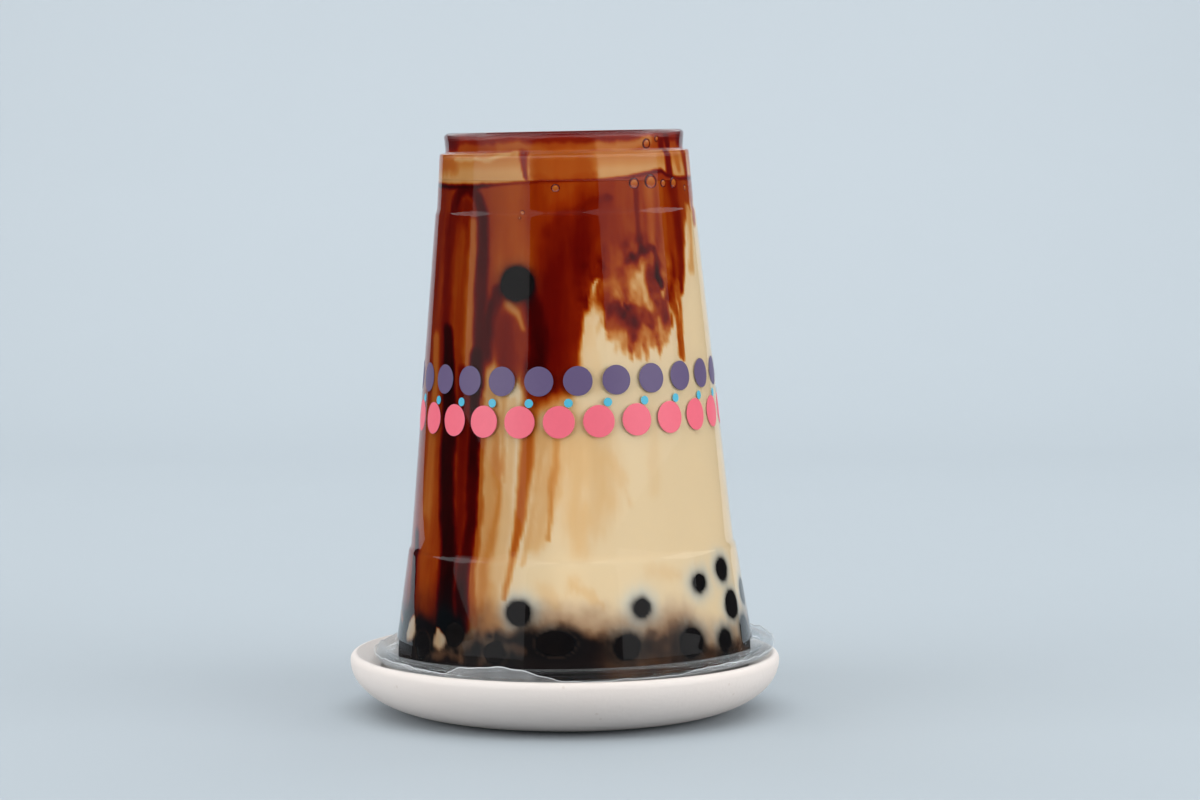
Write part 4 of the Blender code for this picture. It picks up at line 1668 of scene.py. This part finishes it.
@dataclass
class SyrupCoat:
    """The syrup that clings inside the cup above the drink: a thin shell up the wall and across the base."""

    thickness: float = 0.0005
    into_wall: float = INTO_WALL
    spacing: float = 0.00036
    corner: float = 0.0007
    above_end: float = 0.0004
    blend: float = 0.003
    steps: int = 384
    level: float = LEVEL
    marbling: Marbling = field(default_factory=Marbling)
    finish: SyrupAndMilk = field(
        default_factory=lambda: SyrupAndMilk("clinging_syrup", roughness=0.12, specular=0.7, unevenness=0.12)
    )

    def line(self, inset: float, end: float) -> list[Point]:
        """The line of the coat at an inset from the inner wall, from the base's middle down to a height."""
        corners = [point for point in WALL.inner_line(inset) if point[1] > end + self.above_end]
        radius = WALL.outer_radius(end) - WALL.thickness - inset
        return spaced(rounded([*corners, (radius, end)], self.corner), self.spacing)

    def build(self) -> bpy.types.Object:
        """Makes the coat."""
        end = STANCE.level(0.0, self.level)
        outer = self.line(-self.into_wall, end)
        inner = self.line(self.thickness, end)
        shape = spun_mesh([*outer, *reversed(inner)], self.steps)
        for vert in shape.verts:
            near = max(0.0, 1.0 - (vert.co.z - end) / self.blend)
            vert.co.z += near * (STANCE.level(vert.co.x, self.level) - end)
        shape.verts.index_update()
        points = np.array([vert.co for vert in shape.verts])
        shape.transform(STANCE.matrix())
        piece = finished(shape, "syrup_coat", self.finish.build())
        places = Places.of(points, self.marbling.warp)
        depth = self.marbling.surfaced(np.full(len(points), self.marbling.syrup_depth), places)
        write_attributes(piece, {Paint.SYRUP: depth / self.finish.deepest})
        return piece


@dataclass(frozen=True)
class Bubble:
    """A bubble at the wall: azimuth in degrees, height and half width in millimetres."""

    azimuth: float
    height: float
    half: float


@dataclass
class Bubbles:
    """Bubbles caught at the wall where the drink meets the air: amber, painted paler at the top as a
    highlight, inside a dark edge.
    """

    places: tuple[Bubble, ...] = (
        Bubble(-3.6, 111.4, 1.05),
        Bubble(-18.5, 105.9, 0.7),
        Bubble(-19.6, 104.8, 0.35),
        Bubble(33.0, 112.1, 1.4),
        Bubble(42.5, 112.3, 1.9),
        Bubble(50.5, 111.9, 1.0),
        Bubble(58.5, 111.9, 1.4),
        Bubble(43.5, 121.2, 1.25),
        Bubble(50.5, 122.3, 0.7),
        Bubble(70.0, 110.6, 0.8),
    )
    centre_depth: float = 2.3
    edge_depth: float = 12.0
    skin: float = 0.00005
    proud: float = 0.00022
    edge_from: Point = (0.62, 0.86)
    painted_top_highlight: float = 1.2
    flat: float = 0.15
    back_count: int = 7
    back_first: float = 100.0
    back_step: float = 24.0
    back_height: float = 112.2
    seed: int = 3
    finish: SyrupAndMilk = field(
        default_factory=lambda: SyrupAndMilk("bubble_skin", roughness=0.08, specular=0.9, unevenness=0.05)
    )

    def all_places(self) -> list[Bubble]:
        """The bubbles that the front shows, and some round the back."""
        draw = random.Random(self.seed)
        back = []
        for index in range(self.back_count):
            azimuth = self.back_first + self.back_step * index + draw.uniform(-8, 8)
            height = self.back_height + draw.uniform(-0.8, 0.3)
            back.append(Bubble(azimuth, height, draw.uniform(0.5, 1.1)))
        return [*self.places, *back]

    def build(self) -> bpy.types.Object:
        """Makes all bubbles as one piece of shallow domes."""
        joined = bmesh.new()
        depths: list[float] = []
        for bubble in self.all_places():
            radius = WALL.inner_radius(bubble.height * MM)
            shape = bmesh.new()
            bmesh.ops.create_uvsphere(shape, u_segments=28, v_segments=20, radius=1.0)
            angle = math.radians(bubble.azimuth)
            for vert in shape.verts:
                edge = math.hypot(vert.co.x, vert.co.z)
                ring = float(smoothstep(*self.edge_from, np.array([edge]))[0])
                # Painted highlight: each bubble is painted paler towards its top
                amber = self.centre_depth - self.painted_top_highlight * vert.co.z
                depths.append(amber + (self.edge_depth - self.centre_depth) * ring)
                across = vert.co.x * bubble.half * MM
                up = bubble.height * MM + vert.co.z * bubble.half * MM
                turn = angle + across / radius
                reach = radius + self.skin - self.proud * min(vert.co.y, self.flat)
                vert.co = Vector((reach * math.sin(turn), -reach * math.cos(turn), up))
            bmesh.ops.recalc_face_normals(shape, faces=shape.faces)
            mesh = bpy.data.meshes.new("bubble")
            shape.to_mesh(mesh)
            shape.free()
            joined.from_mesh(mesh)
            bpy.data.meshes.remove(mesh)
        joined.transform(STANCE.matrix())
        piece = finished(joined, "bubbles", self.finish.build())
        numbers = np.clip(np.array(depths), 0.0, self.finish.deepest) / self.finish.deepest
        write_attributes(piece, {Paint.SYRUP: numbers})
        return piece


@dataclass(frozen=True)
class Softbox:
    """A rectangular white lamp aimed at its target, which is the cup where nothing else is said.

    Azimuth and elevation say where it stands as seen from its target, radiance how bright its face is, and
    mirrored whether the plastic shows its reflection.
    """

    name: str
    azimuth: float
    elevation: float
    distance: float
    width: float
    height: float
    radiance: float
    target: tuple[float, float, float] = (0.0, 0.0, 0.07)
    mirrored: bool = True

    def build(self) -> bpy.types.Object:
        """Makes the lamp."""
        lamp = bpy.data.lights.new(self.name, "AREA")
        lamp.shape = "RECTANGLE"
        lamp.size = self.width
        lamp.size_y = self.height
        lamp.energy = self.radiance * math.pi * self.width * self.height
        box = bpy.data.objects.new(self.name, lamp)
        bpy.context.scene.collection.objects.link(box)
        turn = math.radians(self.azimuth)
        tilt = math.radians(self.elevation)
        back = Vector((math.sin(turn) * math.cos(tilt), -math.cos(turn) * math.cos(tilt), math.sin(tilt)))
        box.location = Vector(self.target) + back * self.distance
        box.rotation_euler = back.to_track_quat("Z", "Y").to_euler()
        box.visible_glossy = self.mirrored
        box.visible_transmission = self.mirrored
        return box


MIRRORED_LAMPS = (
    Softbox("left_softbox", -60.5, 29.0, distance=0.95, width=1.13, height=0.95, radiance=0.46),
    Softbox("right_softbox", 62.0, 30.5, distance=0.95, width=1.21, height=0.95, radiance=0.46),
    Softbox("left_high", -55.0, 61.0, distance=0.95, width=1.0, height=0.45, radiance=0.7),
    Softbox("right_high", 55.0, 61.0, distance=0.95, width=1.0, height=0.45, radiance=0.7),
    Softbox("left_rear", -122.0, 35.0, distance=0.95, width=1.5, height=0.55, radiance=1.05),
    Softbox("right_rear", 124.0, 35.0, distance=0.95, width=1.5, height=0.55, radiance=1.05),
)

FILL_LAMPS = (
    Softbox("left_fill", -60.0, 12.0, distance=1.0, width=0.8, height=0.6, radiance=4.5, mirrored=False),
    Softbox("right_fill", 62.0, 12.0, distance=1.0, width=0.8, height=0.6, radiance=4.9, mirrored=False),
    Softbox("top_front", 0.0, 58.0, distance=1.1, width=1.3, height=0.8, radiance=1.5, mirrored=False),
    Softbox("top_back", 180.0, 72.0, distance=1.1, width=1.0, height=0.6, radiance=1.3, mirrored=False),
    Softbox(
        "backdrop_wash",
        0.0,
        62.0,
        distance=0.9,
        width=2.0,
        height=0.4,
        radiance=3.0,
        target=(0.0, 1.05, 0.15),
        mirrored=False,
    ),
)


@dataclass
class Studio:
    """Pale floor and backdrop, soft lamps, and the camera at the photograph's viewing angle."""

    camera_distance: float = 0.832
    camera_height: float = 0.1382
    camera_across: float = 0.0084
    camera_pitch: float = math.radians(4.411)
    lens: float = 105.0
    sensor: float = 36.0
    floor_front: float = -0.45
    floor_back: float = 1.15
    floor_side: float = 0.62
    wall_top: float = 1.6
    bend: float = 0.5
    low_sky: tuple[float, Colour] = (0.25, (0.03, 0.032, 0.035))
    high_sky: tuple[float, Colour] = (0.75, (0.10, 0.17, 0.20))
    finish: Backdrop = field(default_factory=Backdrop)

    def backdrop(self) -> bpy.types.Object:
        """One sheet of paper that runs back along the floor and bends up behind."""
        curve = arc((self.floor_back - self.bend, self.bend), (self.bend, self.bend), -90, 0, 24)
        line = [(self.floor_front, 0.0), *curve, (self.floor_back, self.wall_top)]
        shape = bmesh.new()
        corners = [shape.verts.new((-self.floor_side, y, z)) for y, z in line]
        edges = [shape.edges.new(pair) for pair in zip(corners, corners[1:])]
        swept = bmesh.ops.extrude_edge_only(shape, edges=edges)["geom"]
        moved = [item for item in swept if isinstance(item, bmesh.types.BMVert)]
        bmesh.ops.translate(shape, verts=moved, vec=(2 * self.floor_side, 0, 0))
        bmesh.ops.recalc_face_normals(shape, faces=shape.faces)
        mesh = bpy.data.meshes.new("backdrop")
        shape.to_mesh(mesh)
        shape.free()
        mesh.shade_smooth()
        mesh.materials.append(self.finish.build())
        sheet = bpy.data.objects.new("backdrop", mesh)
        bpy.context.scene.collection.objects.link(sheet)
        return sheet

    def lamps(self) -> None:
        """Softboxes that the plastic mirrors, with a gap at the front, and others that only give light."""
        for lamp in (*MIRRORED_LAMPS, *FILL_LAMPS):
            lamp.build()

    def world(self) -> None:
        """A dim room, brighter overhead, so that the plastic mirrors little between the lamps."""
        world = bpy.data.worlds.new("room")
        bpy.context.scene.world = world
        world.use_nodes = True
        nodes = world.node_tree.nodes
        links = world.node_tree.links
        background = nodes["Background"]
        place = nodes.new("ShaderNodeTexCoord")
        split = nodes.new("ShaderNodeSeparateXYZ")
        ramp = nodes.new("ShaderNodeValToRGB")
        for element, (height, colour) in zip(ramp.color_ramp.elements, (self.low_sky, self.high_sky)):
            element.position = height
            element.color = (*colour, 1.0)
        links.new(place.outputs["Generated"], split.inputs[0])
        links.new(split.outputs["Z"], ramp.inputs[0])
        links.new(ramp.outputs[0], background.inputs["Color"])
        background.inputs["Strength"].default_value = 1.0

    def camera(self) -> bpy.types.Object:
        """The camera, level from side to side and at the height of the cup's base."""
        data = bpy.data.cameras.new("camera")
        data.lens = self.lens
        data.sensor_width = self.sensor
        data.clip_start = 0.01
        camera = bpy.data.objects.new("camera", data)
        bpy.context.scene.collection.objects.link(camera)
        camera.location = (self.camera_across, -self.camera_distance, self.camera_height)
        camera.rotation_euler = (math.pi / 2 - self.camera_pitch, 0.0, 0.0)
        bpy.context.scene.camera = camera
        return camera

    def build(self) -> None:
        """Sets up the whole studio."""
        self.camera()
        self.backdrop()
        self.lamps()
        self.world()
        bpy.context.scene.view_settings.view_transform = "Standard"


def main() -> None:
    """Builds the studio and every piece, in order."""
    logging.basicConfig(level=logging.INFO, format="%(name)s: %(message)s")
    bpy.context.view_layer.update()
    Studio().build()
    Dish().build()
    tapioca = Pearls()
    pearls = tapioca.build()
    Drink().build(pearls, tapioca.bed)
    SyrupCoat().build()
    Bubbles().build()
    Cup().build()
    Print().build()
    SealFilm().build()


if __name__ == "__main__":
    main()
